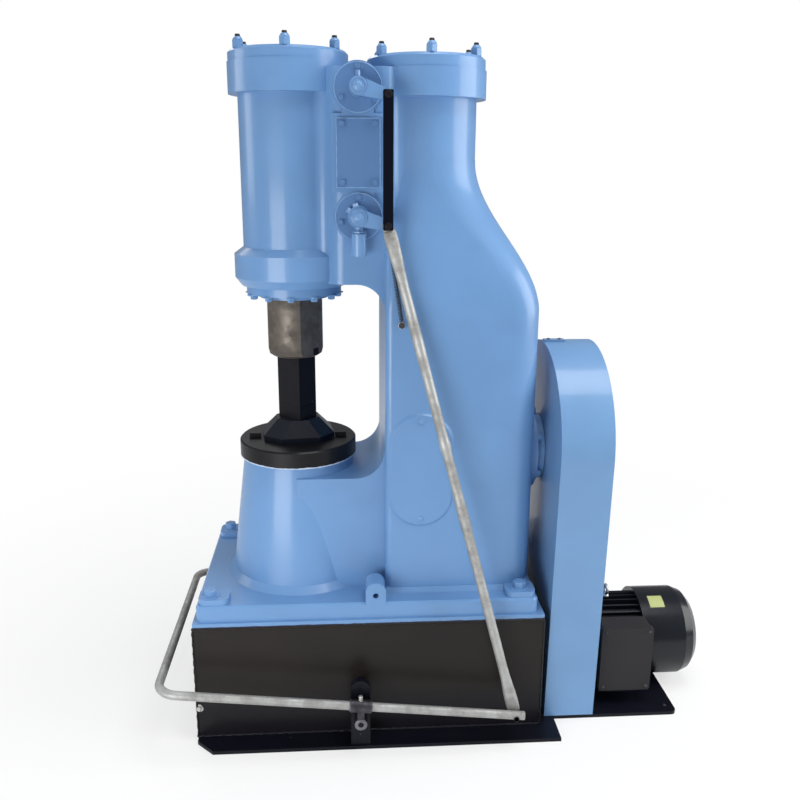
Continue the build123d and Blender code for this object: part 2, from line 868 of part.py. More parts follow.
# Sleeve clamped on the bar, with the pivot bush welded under it
def treadle_sleeve(side):
    on_bar = Plane(origin=(treadle_pivot_x, side * treadle_y, bar_z_at_pivot), z_dir=bar_direction)
    on_pivot = side_face(side, treadle_pivot_x, treadle_y, treadle_pivot_z)
    with BuildPart() as sleeve:
        with BuildSketch(on_bar):
            Circle(sleeve_radius)
        extrude(amount=sleeve_length / 2, both=True)
        with BuildSketch(on_pivot):
            Circle(bush_radius)
            with Locations((0, (bar_z_at_pivot - treadle_pivot_z) / 2)):
                Rectangle(sleeve_web, bar_z_at_pivot - treadle_pivot_z)
        extrude(amount=bush_length / 2, both=True)
        with BuildSketch(on_bar):
            Circle(treadle_bar_radius)
        extrude(amount=sleeve_length, both=True, mode=Mode.SUBTRACT)
        with BuildSketch(on_pivot):
            Circle(bush_hole_radius + pin_clearance)
        extrude(amount=bush_length, both=True, mode=Mode.SUBTRACT)
    return sleeve.part


save(treadle_sleeve(-1), "near_treadle_sleeve")
save(treadle_sleeve(1), "far_treadle_sleeve")

bracket_face_y = treadle_y - sleeve_radius - bracket_gap


# Bracket on the floor plate and box wall, with the fixed pivot pin
def treadle_bracket(side):
    wall = side_face(side, treadle_pivot_x, base_half_width, floor_plate)
    with BuildPart() as bracket:
        with BuildSketch(wall.offset(bracket_face_y - base_half_width - bracket_plate)):
            with Locations((0, (bracket_height - bracket_width / 2) / 2)):
                Rectangle(bracket_width, bracket_height - bracket_width / 2)
            with Locations((0, bracket_height - bracket_width / 2)):
                Circle(bracket_width / 2)
        extrude(amount=bracket_plate)
        with BuildSketch(wall):
            with Locations((0, (bracket_height - bracket_width / 2) / 2)):
                Rectangle(bracket_web, bracket_height - bracket_width / 2)
        extrude(amount=bracket_face_y - base_half_width - bracket_plate)
        with BuildSketch(side_face(side, treadle_pivot_x, bracket_face_y, treadle_pivot_z)):
            Circle(bush_hole_radius)
        extrude(amount=treadle_y + bush_length / 2 - bracket_face_y)
    return bracket.part


save(treadle_bracket(-1), "near_treadle_bracket")
save(treadle_bracket(1), "far_treadle_bracket")

with BuildPart() as rod_bolt:
    with BuildSketch(near_face(rod_bottom_x, rod_foot_y - rod_flat_thickness / 2, rod_bottom_z)):
        Circle(link_pin_radius)
    extrude(amount=rod_flat_thickness + rod_side_gap + 2 * treadle_bar_radius + pin_end)
save(rod_bolt.part, "rod_bolt")

# Spring that returns the valve linkage
with BuildPart() as spring_bolt:
    with BuildSketch(near_face(spring_bolt_x, column_half_width, spring_bolt_z)):
        Circle(spring_bolt_radius)
    extrude(amount=spring_bolt_length)
save(spring_bolt.part, "spring_bolt")

spring_y = column_half_width + spring_radius + spring_gap
spring_low = Vector(spring_bolt_x, -spring_y, spring_bolt_z + spring_bolt_radius + seat_gap)
hook_y = arm_inner_y + arm_thickness / 2
hook_top = Vector(lower_pin[0], -hook_y, lower_pin[1] - arm_tip_radius - seat_gap)
spring_line = (hook_top - spring_low).normalized()
with BuildPart() as return_spring:
    with BuildSketch(Plane(origin=spring_low, z_dir=spring_line)):
        Circle(spring_radius)
    extrude(amount=(hook_top - spring_low).length - hook_length)
    with BuildSketch(Plane(origin=spring_low, z_dir=spring_line)):
        Circle(hook_radius)
    extrude(amount=(hook_top - spring_low).length)
save(return_spring.part, "return_spring")


# Oval cover over the crankcase opening
def crankcase_cover(side):
    with BuildPart() as cover:
        with BuildSketch(side_face(side, oval_x, column_half_width, crank_z)):
            SlotOverall(oval_height, oval_width, rotation=90)
        extrude(amount=oval_depth)
    return cover.part


save(crankcase_cover(-1), "crankcase_cover")
save(crankcase_cover(1), "far_crankcase_cover")

# Plane square to the machine's length, facing the motor
def cross_plane(x, z):
    return Plane(origin=(x, 0, z), x_dir=(0, 1, 0), z_dir=(1, 0, 0))


with BuildPart() as bearing_housing:
    with BuildSketch(cross_plane(column_rear_x, crank_z)):
        Circle(bearing_radius)
    extrude(amount=bearing_flange_length)
    with BuildSketch(cross_plane(column_rear_x, crank_z)):
        Circle(bearing_boss_radius)
    extrude(amount=bearing_length)
save(bearing_housing.part, "bearing_housing")

# End of the crankshaft, which carries the belt wheel inside the guard
with BuildPart() as crank_shaft:
    with BuildSketch(cross_plane(column_rear_x + bearing_length, crank_z)):
        Circle(crank_shaft_radius)
    extrude(amount=crank_shaft_end_x - column_rear_x - bearing_length)
save(crank_shaft.part, "crank_shaft")

# Sheet guard over the belt drive
guard_bottom_z = floor_plate
with BuildPart() as belt_guard:
    with BuildSketch(cross_plane(guard_front_x, 0)):
        with BuildLine():
            lean = degrees(atan2(guard_radius - guard_foot_half_width, guard_centre_z - guard_bottom_z))
            crown = CenterArc((0, guard_centre_z), guard_radius, -lean, 180 + 2 * lean)
            Polyline(
                crown @ 1,
                (-guard_foot_half_width, guard_bottom_z),
                (guard_foot_half_width, guard_bottom_z),
                crown @ 0,
            )
        make_face()
    extrude(amount=guard_depth)
    offset(amount=-guard_sheet, openings=belt_guard.faces().sort_by(Axis.Z)[0])
    with BuildSketch(cross_plane(guard_front_x, crank_z)):
        Circle(guard_shaft_hole)
    extrude(amount=guard_sheet, mode=Mode.SUBTRACT)
    with BuildSketch(cross_plane(guard_front_x + guard_depth, motor_axis_z)):
        Circle(guard_motor_hole)
    extrude(amount=-guard_sheet, mode=Mode.SUBTRACT)
save(belt_guard.part, "belt_guard")

with BuildPart() as guard_strap:
    with BuildSketch(Plane.XY.offset(guard_centre_z + guard_radius)):
        with Locations((guard_front_x + strap_length / 2 + guard_sheet, 0)):
            Rectangle(strap_length, strap_width)
    extrude(amount=strap_thickness)
save(guard_strap.part, "guard_strap")

# Finned motor on its feet, with its shaft through the back of the guard
motor_middle_x = motor_front_x + motor_length / 2
terminal_y = motor_radius + fin_height
terminal_z = motor_axis_z + terminal_rise
terminal_lid_y = terminal_y + terminal_depth - terminal_lid
with BuildPart() as motor_body:
    with BuildSketch(cross_plane(motor_front_x, motor_axis_z)):
        Circle(motor_radius)
        with PolarLocations(motor_radius, fin_count):
            Rectangle(2 * fin_height, fin_thickness)
    extrude(amount=motor_length)
    with BuildSketch(cross_plane(motor_front_x, motor_axis_z)):
        Circle(motor_shield_radius)
    extrude(amount=motor_shield_length)
    with BuildSketch(cross_plane(motor_front_x, motor_axis_z)):
        Circle(motor_shaft_radius)
    extrude(amount=-motor_shaft_length)
    with BuildSketch(near_face(motor_middle_x, 0, terminal_z)):
        Rectangle(terminal_pad_width, terminal_pad_height)
    extrude(amount=terminal_y)
    with BuildSketch(Plane.XY.offset(floor_plate)):
        with Locations((motor_middle_x, motor_foot_y), (motor_middle_x, -motor_foot_y)):
            Rectangle(motor_foot_length, motor_foot_width)
    extrude(amount=motor_foot_thickness)
    with BuildSketch(Plane.XY.offset(floor_plate)):
        with Locations((motor_middle_x, motor_foot_web_y), (motor_middle_x, -motor_foot_web_y)):
            Rectangle(motor_foot_length, motor_foot_web)
    extrude(amount=motor_foot_web_top_z - floor_plate)
save(motor_body.part, "motor_body")

with BuildPart() as motor_cowl:
    with BuildSketch(cross_plane(motor_front_x + motor_length, motor_axis_z + cowl_rise)):
        Circle(cowl_radius)
    extrude(amount=cowl_length - cowl_shoulder - cowl_rim)
    extrude(motor_cowl.faces().sort_by(Axis.X)[-1], amount=cowl_shoulder, taper=cowl_shoulder_angle)
    extrude(motor_cowl.faces().sort_by(Axis.X)[-1], amount=cowl_rim, taper=cowl_rim_angle)
save(motor_cowl.part, "motor_cowl")

with BuildPart() as terminal_box:
    with BuildSketch(near_face(motor_middle_x, terminal_y, terminal_z)):
        RectangleRounded(terminal_width, terminal_height, terminal_corner)
    extrude(amount=terminal_depth - terminal_lid)
    with BuildSketch(near_face(motor_middle_x, terminal_lid_y, terminal_z)):
        RectangleRounded(
            terminal_width + 2 * terminal_lid_reach,
            terminal_height + 2 * terminal_lid_reach,
            terminal_corner,
        )
    extrude(amount=terminal_lid)
save(terminal_box.part, "terminal_box")
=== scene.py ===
"""Looks of the pneumatic forging hammer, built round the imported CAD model.

Lengths are in metres in the CAD model's frame: z is up from the floor, the work cylinder stands on
the z axis, the motor lies towards +x, and the valves and the pull rod are on the near side, -y.
"""
import math

import bpy
import numpy as np
from mathutils import Matrix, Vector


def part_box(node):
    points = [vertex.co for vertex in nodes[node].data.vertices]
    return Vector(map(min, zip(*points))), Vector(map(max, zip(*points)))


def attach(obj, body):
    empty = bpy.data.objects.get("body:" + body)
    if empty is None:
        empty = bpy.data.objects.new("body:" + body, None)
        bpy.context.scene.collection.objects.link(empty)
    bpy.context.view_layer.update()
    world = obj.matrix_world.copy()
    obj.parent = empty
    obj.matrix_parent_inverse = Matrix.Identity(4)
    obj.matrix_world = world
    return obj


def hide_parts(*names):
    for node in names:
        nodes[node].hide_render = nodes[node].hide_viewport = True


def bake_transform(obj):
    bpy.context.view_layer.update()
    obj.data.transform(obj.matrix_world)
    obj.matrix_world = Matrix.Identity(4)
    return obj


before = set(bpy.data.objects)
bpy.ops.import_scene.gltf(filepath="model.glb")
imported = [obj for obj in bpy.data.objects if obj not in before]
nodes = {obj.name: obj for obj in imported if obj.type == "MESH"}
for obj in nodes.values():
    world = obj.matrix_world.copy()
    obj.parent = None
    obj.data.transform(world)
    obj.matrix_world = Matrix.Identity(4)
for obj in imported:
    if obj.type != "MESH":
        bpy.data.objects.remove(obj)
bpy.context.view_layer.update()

SEED = 7
NEAR, FAR = -1, 1
SIDES = ((NEAR, "near"), (FAR, "far"))
UP, DOWN = (0, 0, 1), (0, 0, -1)
TO_NEAR = (0, -1, 0)
TO_MOTOR = (1, 0, 0)


# ---------- meshes ----------

def mesh_piece(name, points, faces, body, slot, material, smooth=True):
    """A piece from points and faces, riding on its body if it has one."""
    mesh = bpy.data.meshes.new(name)
    mesh.from_pydata(np.asarray(points, float).tolist(), [], [tuple(map(int, f)) for f in faces])
    mesh.validate()
    mesh.polygons.foreach_set("use_smooth", np.full(len(mesh.polygons), smooth))
    mesh.materials.append(material)
    piece = bpy.data.objects.new(name, mesh)
    bpy.context.scene.collection.objects.link(piece)
    if body:
        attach(piece, body)
    return piece


def axes_for(axis):
    """Two unit vectors u and v square to an axis and to each other, and the unit axis w itself."""
    w = np.asarray(axis, float) / np.linalg.norm(axis)
    helper = np.array([0, 0, 1.0]) if abs(w[2]) < 0.9 else np.array([1.0, 0, 0])
    u = np.cross(helper, w)
    u /= np.linalg.norm(u)
    return u, np.cross(w, u), w


def polar(radius, degrees):
    """The offsets (radius cos, radius sin) of an angle."""
    a = math.radians(degrees)
    return radius * math.cos(a), radius * math.sin(a)


def ring_of(count, first, radius):
    """Offsets of equally spaced places round a circle, from a first angle in degrees."""
    return [polar(radius, first + 360 / count * k) for k in range(count)]


def round_angles(sides):
    """Equal steps once round a circle, without the repeated last one."""
    return np.arange(sides) * 2 * math.pi / sides


def circle(centre, axis, radius, angles):
    """Points centre + radius (cos a u + sin a v) round an axis."""
    u, v, _ = axes_for(axis)
    ring = np.cos(angles)[:, None] * u + np.sin(angles)[:, None] * v
    return np.asarray(centre, float) + radius * ring


def grid_faces(rows, columns, wrap):
    """Quads between neighbouring rows and columns of a grid, closed round when wrap is set."""
    r = np.arange(rows - 1)[:, None] * columns
    c = np.arange(columns if wrap else columns - 1)[None, :]
    n = (c + 1) % columns
    return np.stack([r + c, r + n, r + columns + n, r + columns + c], -1).reshape(-1, 4)


def ring_faces(rings, sides):
    """Quads between rings of points, with one flat face to close the first and the last ring."""
    first, last = list(range(sides))[::-1], [(rings - 1) * sides + k for k in range(sides)]
    return grid_faces(rings, sides, True).tolist() + [first, last]


def turned(profile, centre, axis, sides=24, turn=0.0):
    """Surface of revolution: the point at (a, s) is centre + r(s) (cos a u + sin a v) + h(s) w."""
    radii, heights = np.asarray(profile, float).T
    u, v, w = axes_for(axis)
    a = turn + round_angles(sides)
    ring = np.cos(a)[:, None] * u + np.sin(a)[:, None] * v
    points = (np.asarray(centre, float) + radii[:, None, None] * ring[None]
              + heights[:, None, None] * w)
    return points.reshape(-1, 3), ring_faces(len(radii), sides)


def tube(path, radius, sides=10):
    """Tube round a path: the point at (s, a) is path(s) + r(s) (cos a u(s) + sin a v(s)), with
    u and v square to the path's direction at s."""
    path = np.asarray(path, float)
    along = np.gradient(path, axis=0)
    along /= np.linalg.norm(along, axis=1)[:, None]
    u = np.cross(along, [0.31, 0.87, 0.38])
    u /= np.linalg.norm(u, axis=1)[:, None]
    v = np.cross(along, u)
    a = round_angles(sides)
    radii = np.broadcast_to(np.asarray(radius, float), len(path))[:, None, None]
    ring = np.cos(a)[None, :, None] * u[:, None] + np.sin(a)[None, :, None] * v[:, None]
    return (path[:, None] + radii * ring).reshape(-1, 3), ring_faces(len(path), sides)


def hoop(centre, axis, radius, wire, count=60, sides=6, start=0.0):
    """Ring of round wire: a tube round the circle centre + radius (cos a u + sin a v)."""
    angles = np.linspace(start, start + 2 * math.pi, count)
    return tube(circle(centre, axis, radius, angles), wire, sides)


def joined(parts):
    """Several point and face pairs as one pair."""
    points, faces, start = [], [], 0
    for p, f in parts:
        points.append(np.asarray(p, float))
        faces += [[start + i for i in face] for face in f]
        start += len(p)
    return np.vstack(points), faces


EMBED = 0.0004   # how far a head or ring reaches into what it sits on
WASHER = 0.0014
HEAD_TURN = 0.2


def hex_bolt(centre, axis, size, washer=True):
    """Hexagon head of size (across flats, height): the turned profile on 6 sides, with a chamfer
    ring and a flat top, on a washer turned on 24 sides."""
    across, height = size
    corner = across / math.sqrt(3)
    rim = across * 0.86
    seat = WASHER if washer else 0.0
    head = turned([(corner, seat - EMBED), (corner, seat + height * 0.8),
                   (corner * 0.86, seat + height)], centre, axis, 6, HEAD_TURN)
    if not washer:
        return [head]
    return [turned([(rim, -EMBED), (rim, seat * 0.7), (across * 0.8, seat)], centre, axis), head]


def pan_screw(centre, axis, size):
    """Low domed head of size (radius, height): the turned quarter ellipse (r cos t, h sin t)."""
    radius, height = size
    t = np.linspace(0, math.pi / 2 * 0.92, 5)
    dome = list(zip(radius * np.cos(t), height * np.sin(t)))
    return [turned([(radius, -EMBED)] + dome, centre, axis, 16)]


def fasteners(name, places, body, slot, material, maker, size, **options):
    """One piece with the same fastener at each (centre, axis)."""
    parts = []
    for centre, axis in places:
        parts += maker(centre, axis, size, **options)
    return mesh_piece(name, *joined(parts), body, slot, material, smooth=False)


WELD_STEP = 0.0028    # distance between a bead's rings
WELD_SWELL = 0.0034   # length over which a bead's drops swell
WELD_NOISE = 0.07


def bead(name, path, radius, body, slot, material, seed):
    """Weld bead: a tube round the path, where the radius at s is r (1 + 0.16 sin(s / WELD_SWELL)
    + noise) and the centre wanders by noise r."""
    rng = np.random.default_rng(seed)
    path = np.asarray(path, float)
    steps = np.concatenate([[0], np.cumsum(np.linalg.norm(np.diff(path, axis=0), axis=1))])
    count = max(8, int(steps[-1] / WELD_STEP))
    s = np.linspace(0, steps[-1], count)
    points = np.stack([np.interp(s, steps, path[:, k]) for k in range(3)], 1)
    points += rng.normal(0, radius * WELD_NOISE, points.shape)
    radii = radius * (1 + 0.16 * np.sin(s / WELD_SWELL) + rng.normal(0, WELD_NOISE, count))
    return mesh_piece(name, *tube(points, radii, 8), body, slot, material)


# ---------- shader nodes ----------

def node_group(name, inputs, outputs):
    """A shader node group with named inputs (label, kind, default) and outputs (label, kind),
    and inside it the sockets that give the inputs and those that take the outputs."""
    group = bpy.data.node_groups.new(name, "ShaderNodeTree")
    for label, kind, value in inputs:
        socket = group.interface.new_socket(label, in_out="INPUT", socket_type="NodeSocket" + kind)
        if value is not None:
            socket.default_value = value
    for label, kind in outputs:
        group.interface.new_socket(label, in_out="OUTPUT", socket_type="NodeSocket" + kind)
    given = group.nodes.new("NodeGroupInput").outputs
    return group, given, group.nodes.new("NodeGroupOutput").inputs


def link_all(tree, sockets, values):
    """Links each value to the socket of its name."""
    for label, value in values.items():
        tree.links.new(value, sockets[label])


def plug(tree, socket, value):
    """Sets a socket to a constant, or links another socket to it."""
    if isinstance(value, bpy.types.NodeSocket):
        tree.links.new(value, socket)
    else:
        socket.default_value = value


def noise(tree, vector, scale, detail, rough=0.55):
    """Noise from 0 to 1 in the space of a vector."""
    n = tree.nodes.new("ShaderNodeTexNoise")
    for label, value in (("Detail", detail), ("Roughness", rough), ("Scale", scale)):
        n.inputs[label].default_value = value
    tree.links.new(vector, n.inputs["Vector"])
    return n.outputs["Fac"]


def maths(tree, operation, a, b, clamp=False):
    """A Math node on two constants or sockets."""
    n = tree.nodes.new("ShaderNodeMath")
    n.operation = operation
    n.use_clamp = clamp
    plug(tree, n.inputs[0], a)
    plug(tree, n.inputs[1], b)
    return n.outputs[0]


def plus(tree, a, b, clamp=False):
    return maths(tree, "ADD", a, b, clamp)


def minus(tree, a, b):
    return maths(tree, "SUBTRACT", a, b)


def times(tree, a, b):
    return maths(tree, "MULTIPLY", a, b)


def ramp(tree, value, low, high, out_low=0.0, out_high=1.0):
    """Eases from out_low at low to out_high at high."""
    n = tree.nodes.new("ShaderNodeMapRange")
    n.interpolation_type = "SMOOTHSTEP"
    for label, v in (("Value", value), ("From Min", low), ("From Max", high),
                     ("To Min", out_low), ("To Max", out_high)):
        plug(tree, n.inputs[label], v)
    return n.outputs["Result"]


def mix(tree, factor, a, b):
    """Mix of two colours, whose sockets on the Mix node are 6 and 7 in, and 2 out."""
    n = tree.nodes.new("ShaderNodeMix")
    n.data_type = "RGBA"
    for socket, value in ((0, factor), (6, a), (7, b)):
        plug(tree, n.inputs[socket], value)
    return n.outputs[2]


def make_paint_group():
    """Machine paint: slow drift and clouds of tone, small chips, and a cast or brushed height."""
    group, source, out = node_group("machine_paint", [
        ("Vector", "Vector", None),
        ("Colour", "Color", (0.5, 0.5, 0.5, 1)),
        ("Deep", "Color", (0.4, 0.4, 0.4, 1)),
        ("Worn", "Color", (0.2, 0.2, 0.2, 1)),
        ("Chips", "Float", 0.0),
        ("Base Roughness", "Float", 0.35),
    ], [("Colour", "Color"), ("Roughness", "Float"), ("Height", "Float")])
    vector, deep, chips = source["Vector"], source["Deep"], source["Chips"]
    drift = ramp(group, noise(group, vector, scale=3.1, detail=3), 0.32, 0.68)
    cloud = noise(group, vector, scale=17.0, detail=4)
    colour = mix(group, times(group, drift, 0.75), source["Colour"], deep)
    colour = mix(group, ramp(group, cloud, 0.5, 0.78, 0.0, 0.28), colour, deep)
    fine = noise(group, vector, scale=410.0, detail=2)
    spots = noise(group, vector, scale=92.0, detail=2, rough=0.4)
    limit = minus(group, 0.83, times(group, chips, 0.14))
    chip = ramp(group, spots, limit, plus(group, limit, 0.03))
    chip = times(group, chip, ramp(group, chips, 0.0, 0.05))
    colour = mix(group, chip, colour, source["Worn"])
    rough = plus(group, source["Base Roughness"], times(group, cloud, 0.16))
    rough = plus(group, rough, times(group, chip, 0.25), clamp=True)
    cast = noise(group, vector, scale=46.0, detail=4, rough=0.6)
    height = plus(group, times(group, cast, 0.8), times(group, fine, 0.1))
    height = minus(group, height, times(group, chip, 0.5))
    link_all(group, out, {"Colour": colour, "Roughness": rough, "Height": height})
    return group


def make_steel_group():
    """Bare steel: mill scale in patches, thin rust bloom and fine scratches along one axis."""
    group, source, out = node_group("bare_metal", [
        ("Vector", "Vector", None),
        ("Streaks", "Vector", None),
        ("Bright", "Color", (0.6, 0.6, 0.58, 1)),
        ("Dull", "Color", (0.3, 0.28, 0.25, 1)),
        ("Bloom", "Color", (0.2, 0.12, 0.07, 1)),
        ("Rust", "Float", 0.2),
        ("Grain", "Float", 0.0),
        ("Shine", "Float", 1.0),
    ], [("Colour", "Color"), ("Roughness", "Float"), ("Height", "Float"), ("Metal", "Float")])
    vector, dull = source["Vector"], source["Dull"]
    patch = ramp(group, noise(group, vector, scale=24.0, detail=5, rough=0.62), 0.36, 0.66)
    line = noise(group, source["Streaks"], scale=60.0, detail=4, rough=0.6)
    bloom = ramp(group, noise(group, vector, scale=75.0, detail=5, rough=0.65), 0.56, 0.74)
    bloom = times(group, bloom, source["Rust"])
    colour = mix(group, patch, source["Bright"], dull)
    colour = mix(group, ramp(group, line, 0.45, 0.8, 0.0, 0.45), colour, dull)
    colour = mix(group, bloom, colour, source["Bloom"])
    rough = plus(group, ramp(group, patch, 0, 1, 0.3, 0.48), times(group, line, 0.12))
    rough = plus(group, rough, source["Grain"])
    rough = plus(group, rough, times(group, bloom, 0.3), clamp=True)
    height = plus(group, times(group, line, 0.6), times(group, bloom, 0.5))
    metal = times(group, ramp(group, bloom, 0.0, 1.0, 1.0, 0.35), source["Shine"])
    link_all(group, out, {"Colour": colour, "Roughness": rough, "Height": height, "Metal": metal})
    return group


def make_edge_group():
    """Ragged line: 1 below a height that wanders by a few times Ragged, 0 above it. Below the line
    goes another colour: a second paint, or on the base box painted shade.
    """
    group, source, out = node_group("ragged_edge", [
        ("Vector", "Vector", None),
        ("Height", "Float", 0.0),
        ("Ragged", "Float", 0.004),
        ("Soft", "Float", 0.0006),
    ], [("Mask", "Float")])
    split = group.nodes.new("ShaderNodeSeparateXYZ")
    group.links.new(source["Vector"], split.inputs[0])
    waver = noise(group, source["Vector"], scale=38.0, detail=4, rough=0.7)
    wander = times(group, minus(group, waver, 0.5), times(group, source["Ragged"], 4.0))
    line = plus(group, source["Height"], wander)
    mask = ramp(group, split.outputs["Z"], line, plus(group, line, source["Soft"]), 1.0, 0.0)
    link_all(group, out, {"Mask": mask})
    return group


PAINT = make_paint_group()
STEEL = make_steel_group()
EDGE = make_edge_group()


# ---------- materials ----------

def surface(name, group, values, bump, bump_distance=0.0008, coat=0.0, streak=None, specular=0.5,
            edge=None):
    """A Principled material fed by one of the shared groups. Streak scales the space of the
    scratches. Edge is (height, ragged, soft, colour) of another colour below that height: a
    second paint, or painted shade on the base box."""
    material = bpy.data.materials.new(name)
    material.use_nodes = True
    tree = material.node_tree
    shader = tree.nodes["Principled BSDF"]
    shader.inputs["Coat Weight"].default_value = coat
    shader.inputs["Coat Roughness"].default_value = 0.12
    shader.inputs["Specular IOR Level"].default_value = specular
    place = tree.nodes.new("ShaderNodeTexCoord").outputs["Object"]
    finish = tree.nodes.new("ShaderNodeGroup")
    finish.node_tree = group
    tree.links.new(place, finish.inputs["Vector"])
    if streak:
        squeeze = tree.nodes.new("ShaderNodeMapping")
        squeeze.inputs["Scale"].default_value = streak
        tree.links.new(place, squeeze.inputs["Vector"])
        tree.links.new(squeeze.outputs["Vector"], finish.inputs["Streaks"])
    for label, value in values.items():
        finish.inputs[label].default_value = value
    colour = finish.outputs["Colour"]
    # The edge mask lays a second paint, or painted shade, below a ragged height.
    if edge:
        *numbers, below = edge
        paint_and_shade_line = tree.nodes.new("ShaderNodeGroup")
        paint_and_shade_line.node_tree = EDGE
        tree.links.new(place, paint_and_shade_line.inputs["Vector"])
        for label, value in zip(("Height", "Ragged", "Soft"), numbers):
            paint_and_shade_line.inputs[label].default_value = value
        colour = mix(tree, paint_and_shade_line.outputs["Mask"], colour, (*below, 1))
    link_all(tree, shader.inputs, {"Base Color": colour, "Roughness": finish.outputs["Roughness"]})
    if "Metal" in finish.outputs:
        tree.links.new(finish.outputs["Metal"], shader.inputs["Metallic"])
    bumps = tree.nodes.new("ShaderNodeBump")
    bumps.inputs["Strength"].default_value = bump
    bumps.inputs["Distance"].default_value = bump_distance
    tree.links.new(finish.outputs["Height"], bumps.inputs["Height"])
    tree.links.new(bumps.outputs["Normal"], shader.inputs["Normal"])
    return material


def paint(name, colour, deep, worn, chips, rough, bump, specular=0.5, coat=0.0, edge=None):
    """A paint that drifts from one colour to a deeper one, with chips in a third."""
    values = {"Colour": (*colour, 1), "Deep": (*deep, 1), "Worn": (*worn, 1), "Chips": chips,
              "Base Roughness": rough}
    return surface(name, PAINT, values, bump, coat=coat, specular=specular, edge=edge)


def blue(name, colour, bump, coat, edge=None):
    """Blue machine paint that is pale where it is worn."""
    deep = tuple(0.84 * c for c in colour)
    return paint(name, colour, deep, (0.30, 0.48, 0.78), chips=0.10, rough=0.30, bump=bump,
                 specular=0.34, coat=coat, edge=edge)


def black(name, colour, deep, **values):
    """Black paint that is brown where it is worn."""
    return paint(name, colour, deep, (0.12, 0.10, 0.085), **values)


def steel(name, bright, dull, bloom, rust, bump, distance, streak, grain=0.0, shine=1.0):
    """A bare metal, bright to dull in patches, with a bloom of rust."""
    values = {"Bright": (*bright, 1), "Dull": (*dull, 1), "Bloom": (*bloom, 1), "Rust": rust,
              "Grain": grain, "Shine": shine}
    return surface(name, STEEL, values, bump, distance, streak=streak)


CAST_BLUE = (0.138, 0.286, 0.535)
NAVY = (0.008, 0.012, 0.036)
PALE = (0.46, 0.55, 0.68)
# Darker black for the base box's lower part: painted shade, a dark reflection of the ground
# painted on.
PAINTED_LOW_SHADE = (0.0075, 0.0068, 0.0095)

cast_blue = blue("cast_blue_paint", CAST_BLUE, bump=0.24, coat=0.34)
sheet_blue = blue("sheet_blue_paint", (0.160, 0.318, 0.560), bump=0.05, coat=0.34)
# Darker blue for the valve and middle covers and their bolts: painted shade, the cast blue
# darkened as a dark reflection painted in.
shaded_cover_blue = blue("cover_blue_painted_shade", (0.088, 0.192, 0.395), bump=0.20, coat=0.25)
# Lighter blue for the lips round the covers and the thin rings on the hubs: painted highlight.
highlight_blue = blue("cover_edge_painted_highlight", (0.20, 0.36, 0.61), bump=0.10, coat=0.25)
top_blue = blue("top_plate_paint", CAST_BLUE, bump=0.12, coat=0.34,
                edge=(0.2642, 0.0010, 0.0005, NAVY))
# Below about 0.07 m, eased out by 0.115 m, the box's black turns darker: painted shade, a dark
# reflection painted onto its lower part.
box_black = black("box_black_paint_with_painted_shade", (0.0165, 0.0132, 0.0112), (0.0115, 0.0095, 0.0088),
                  chips=0.25, rough=0.24, bump=0.10, specular=0.22,
                  edge=(0.070, 0.004, 0.045, PAINTED_LOW_SHADE))
plate_black = black("plate_black_paint", (0.0040, 0.0048, 0.0105), (0.003, 0.003, 0.006),
                    chips=0.4, rough=0.32, bump=0.2, specular=0.20)
iron_black = black("anvil_black_paint", (0.0070, 0.0068, 0.0078), (0.004, 0.004, 0.006),
                   chips=0.3, rough=0.34, bump=0.4, specular=0.17, coat=0.12,
                   edge=(0.5752, 0.0016, 0.0005, PALE))
die_black = black("die_black_paint", (0.0062, 0.0062, 0.0095), (0.004, 0.004, 0.007),
                  chips=0.5, rough=0.42, bump=0.3, specular=0.16)
holder_black = black("holder_black_paint", (0.0048, 0.0066, 0.0150), (0.003, 0.004, 0.009),
                     chips=0.35, rough=0.22, bump=0.35, specular=0.28, coat=0.10)
motor_black = black("motor_black_paint", (0.0066, 0.0082, 0.0125), (0.004, 0.0055, 0.009),
                    chips=0.05, rough=0.18, bump=0.05, specular=0.26, coat=0.18)
fin_black = black("motor_fin_paint", (0.009, 0.010, 0.016), (0.006, 0.007, 0.011),
                  chips=0.05, rough=0.34, bump=0.2, specular=0.25)
lid_grey = black("terminal_box_paint", (0.023, 0.0212, 0.0235), (0.017, 0.0158, 0.018),
                 chips=0.1, rough=0.44, bump=0.3, specular=0.26)
link_black = black("link_black_paint", (0.0026, 0.0042, 0.0105), (0.002, 0.003, 0.007),
                   chips=0.3, rough=0.36, bump=0.1, specular=0.06)
bar_steel = steel("bar_steel", (0.42, 0.424, 0.415), (0.30, 0.297, 0.283), (0.20, 0.165, 0.125),
                  rust=0.55, bump=0.25, distance=0.0004, streak=(1.6, 1.6, 0.10), grain=0.16,
                  shine=0.60)
ram_steel = steel("ram_steel", (0.150, 0.130, 0.110), (0.092, 0.080, 0.069), (0.065, 0.048, 0.036),
                  rust=0.45, bump=0.14, distance=0.0003, streak=(1.0, 1.0, 0.05), grain=0.10,
                  shine=0.60)
dark_steel = steel("dark_steel", (0.095, 0.094, 0.102), (0.046, 0.044, 0.050), (0.09, 0.06, 0.04),
                   rust=0.3, bump=0.3, distance=0.0004, streak=(1.0, 1.0, 0.4))
zinc_steel = steel("zinc_steel", (0.62, 0.62, 0.60), (0.40, 0.40, 0.39), (0.25, 0.2, 0.15),
                   rust=0.1, bump=0.2, distance=0.0003, streak=(1.0, 1.0, 0.6))
bead_grey = steel("weld_bead_grey", (0.20, 0.195, 0.21), (0.085, 0.08, 0.095), (0.12, 0.09, 0.07),
                  rust=0.3, bump=0.5, distance=0.0005, streak=(1.0, 1.0, 1.0), grain=0.15,
                  shine=0.7)
label_yellow = paint("blank_label", (0.46, 0.48, 0.21), (0.36, 0.40, 0.13), (0.2, 0.2, 0.08),
                     chips=0.2, rough=0.3, bump=0.05)

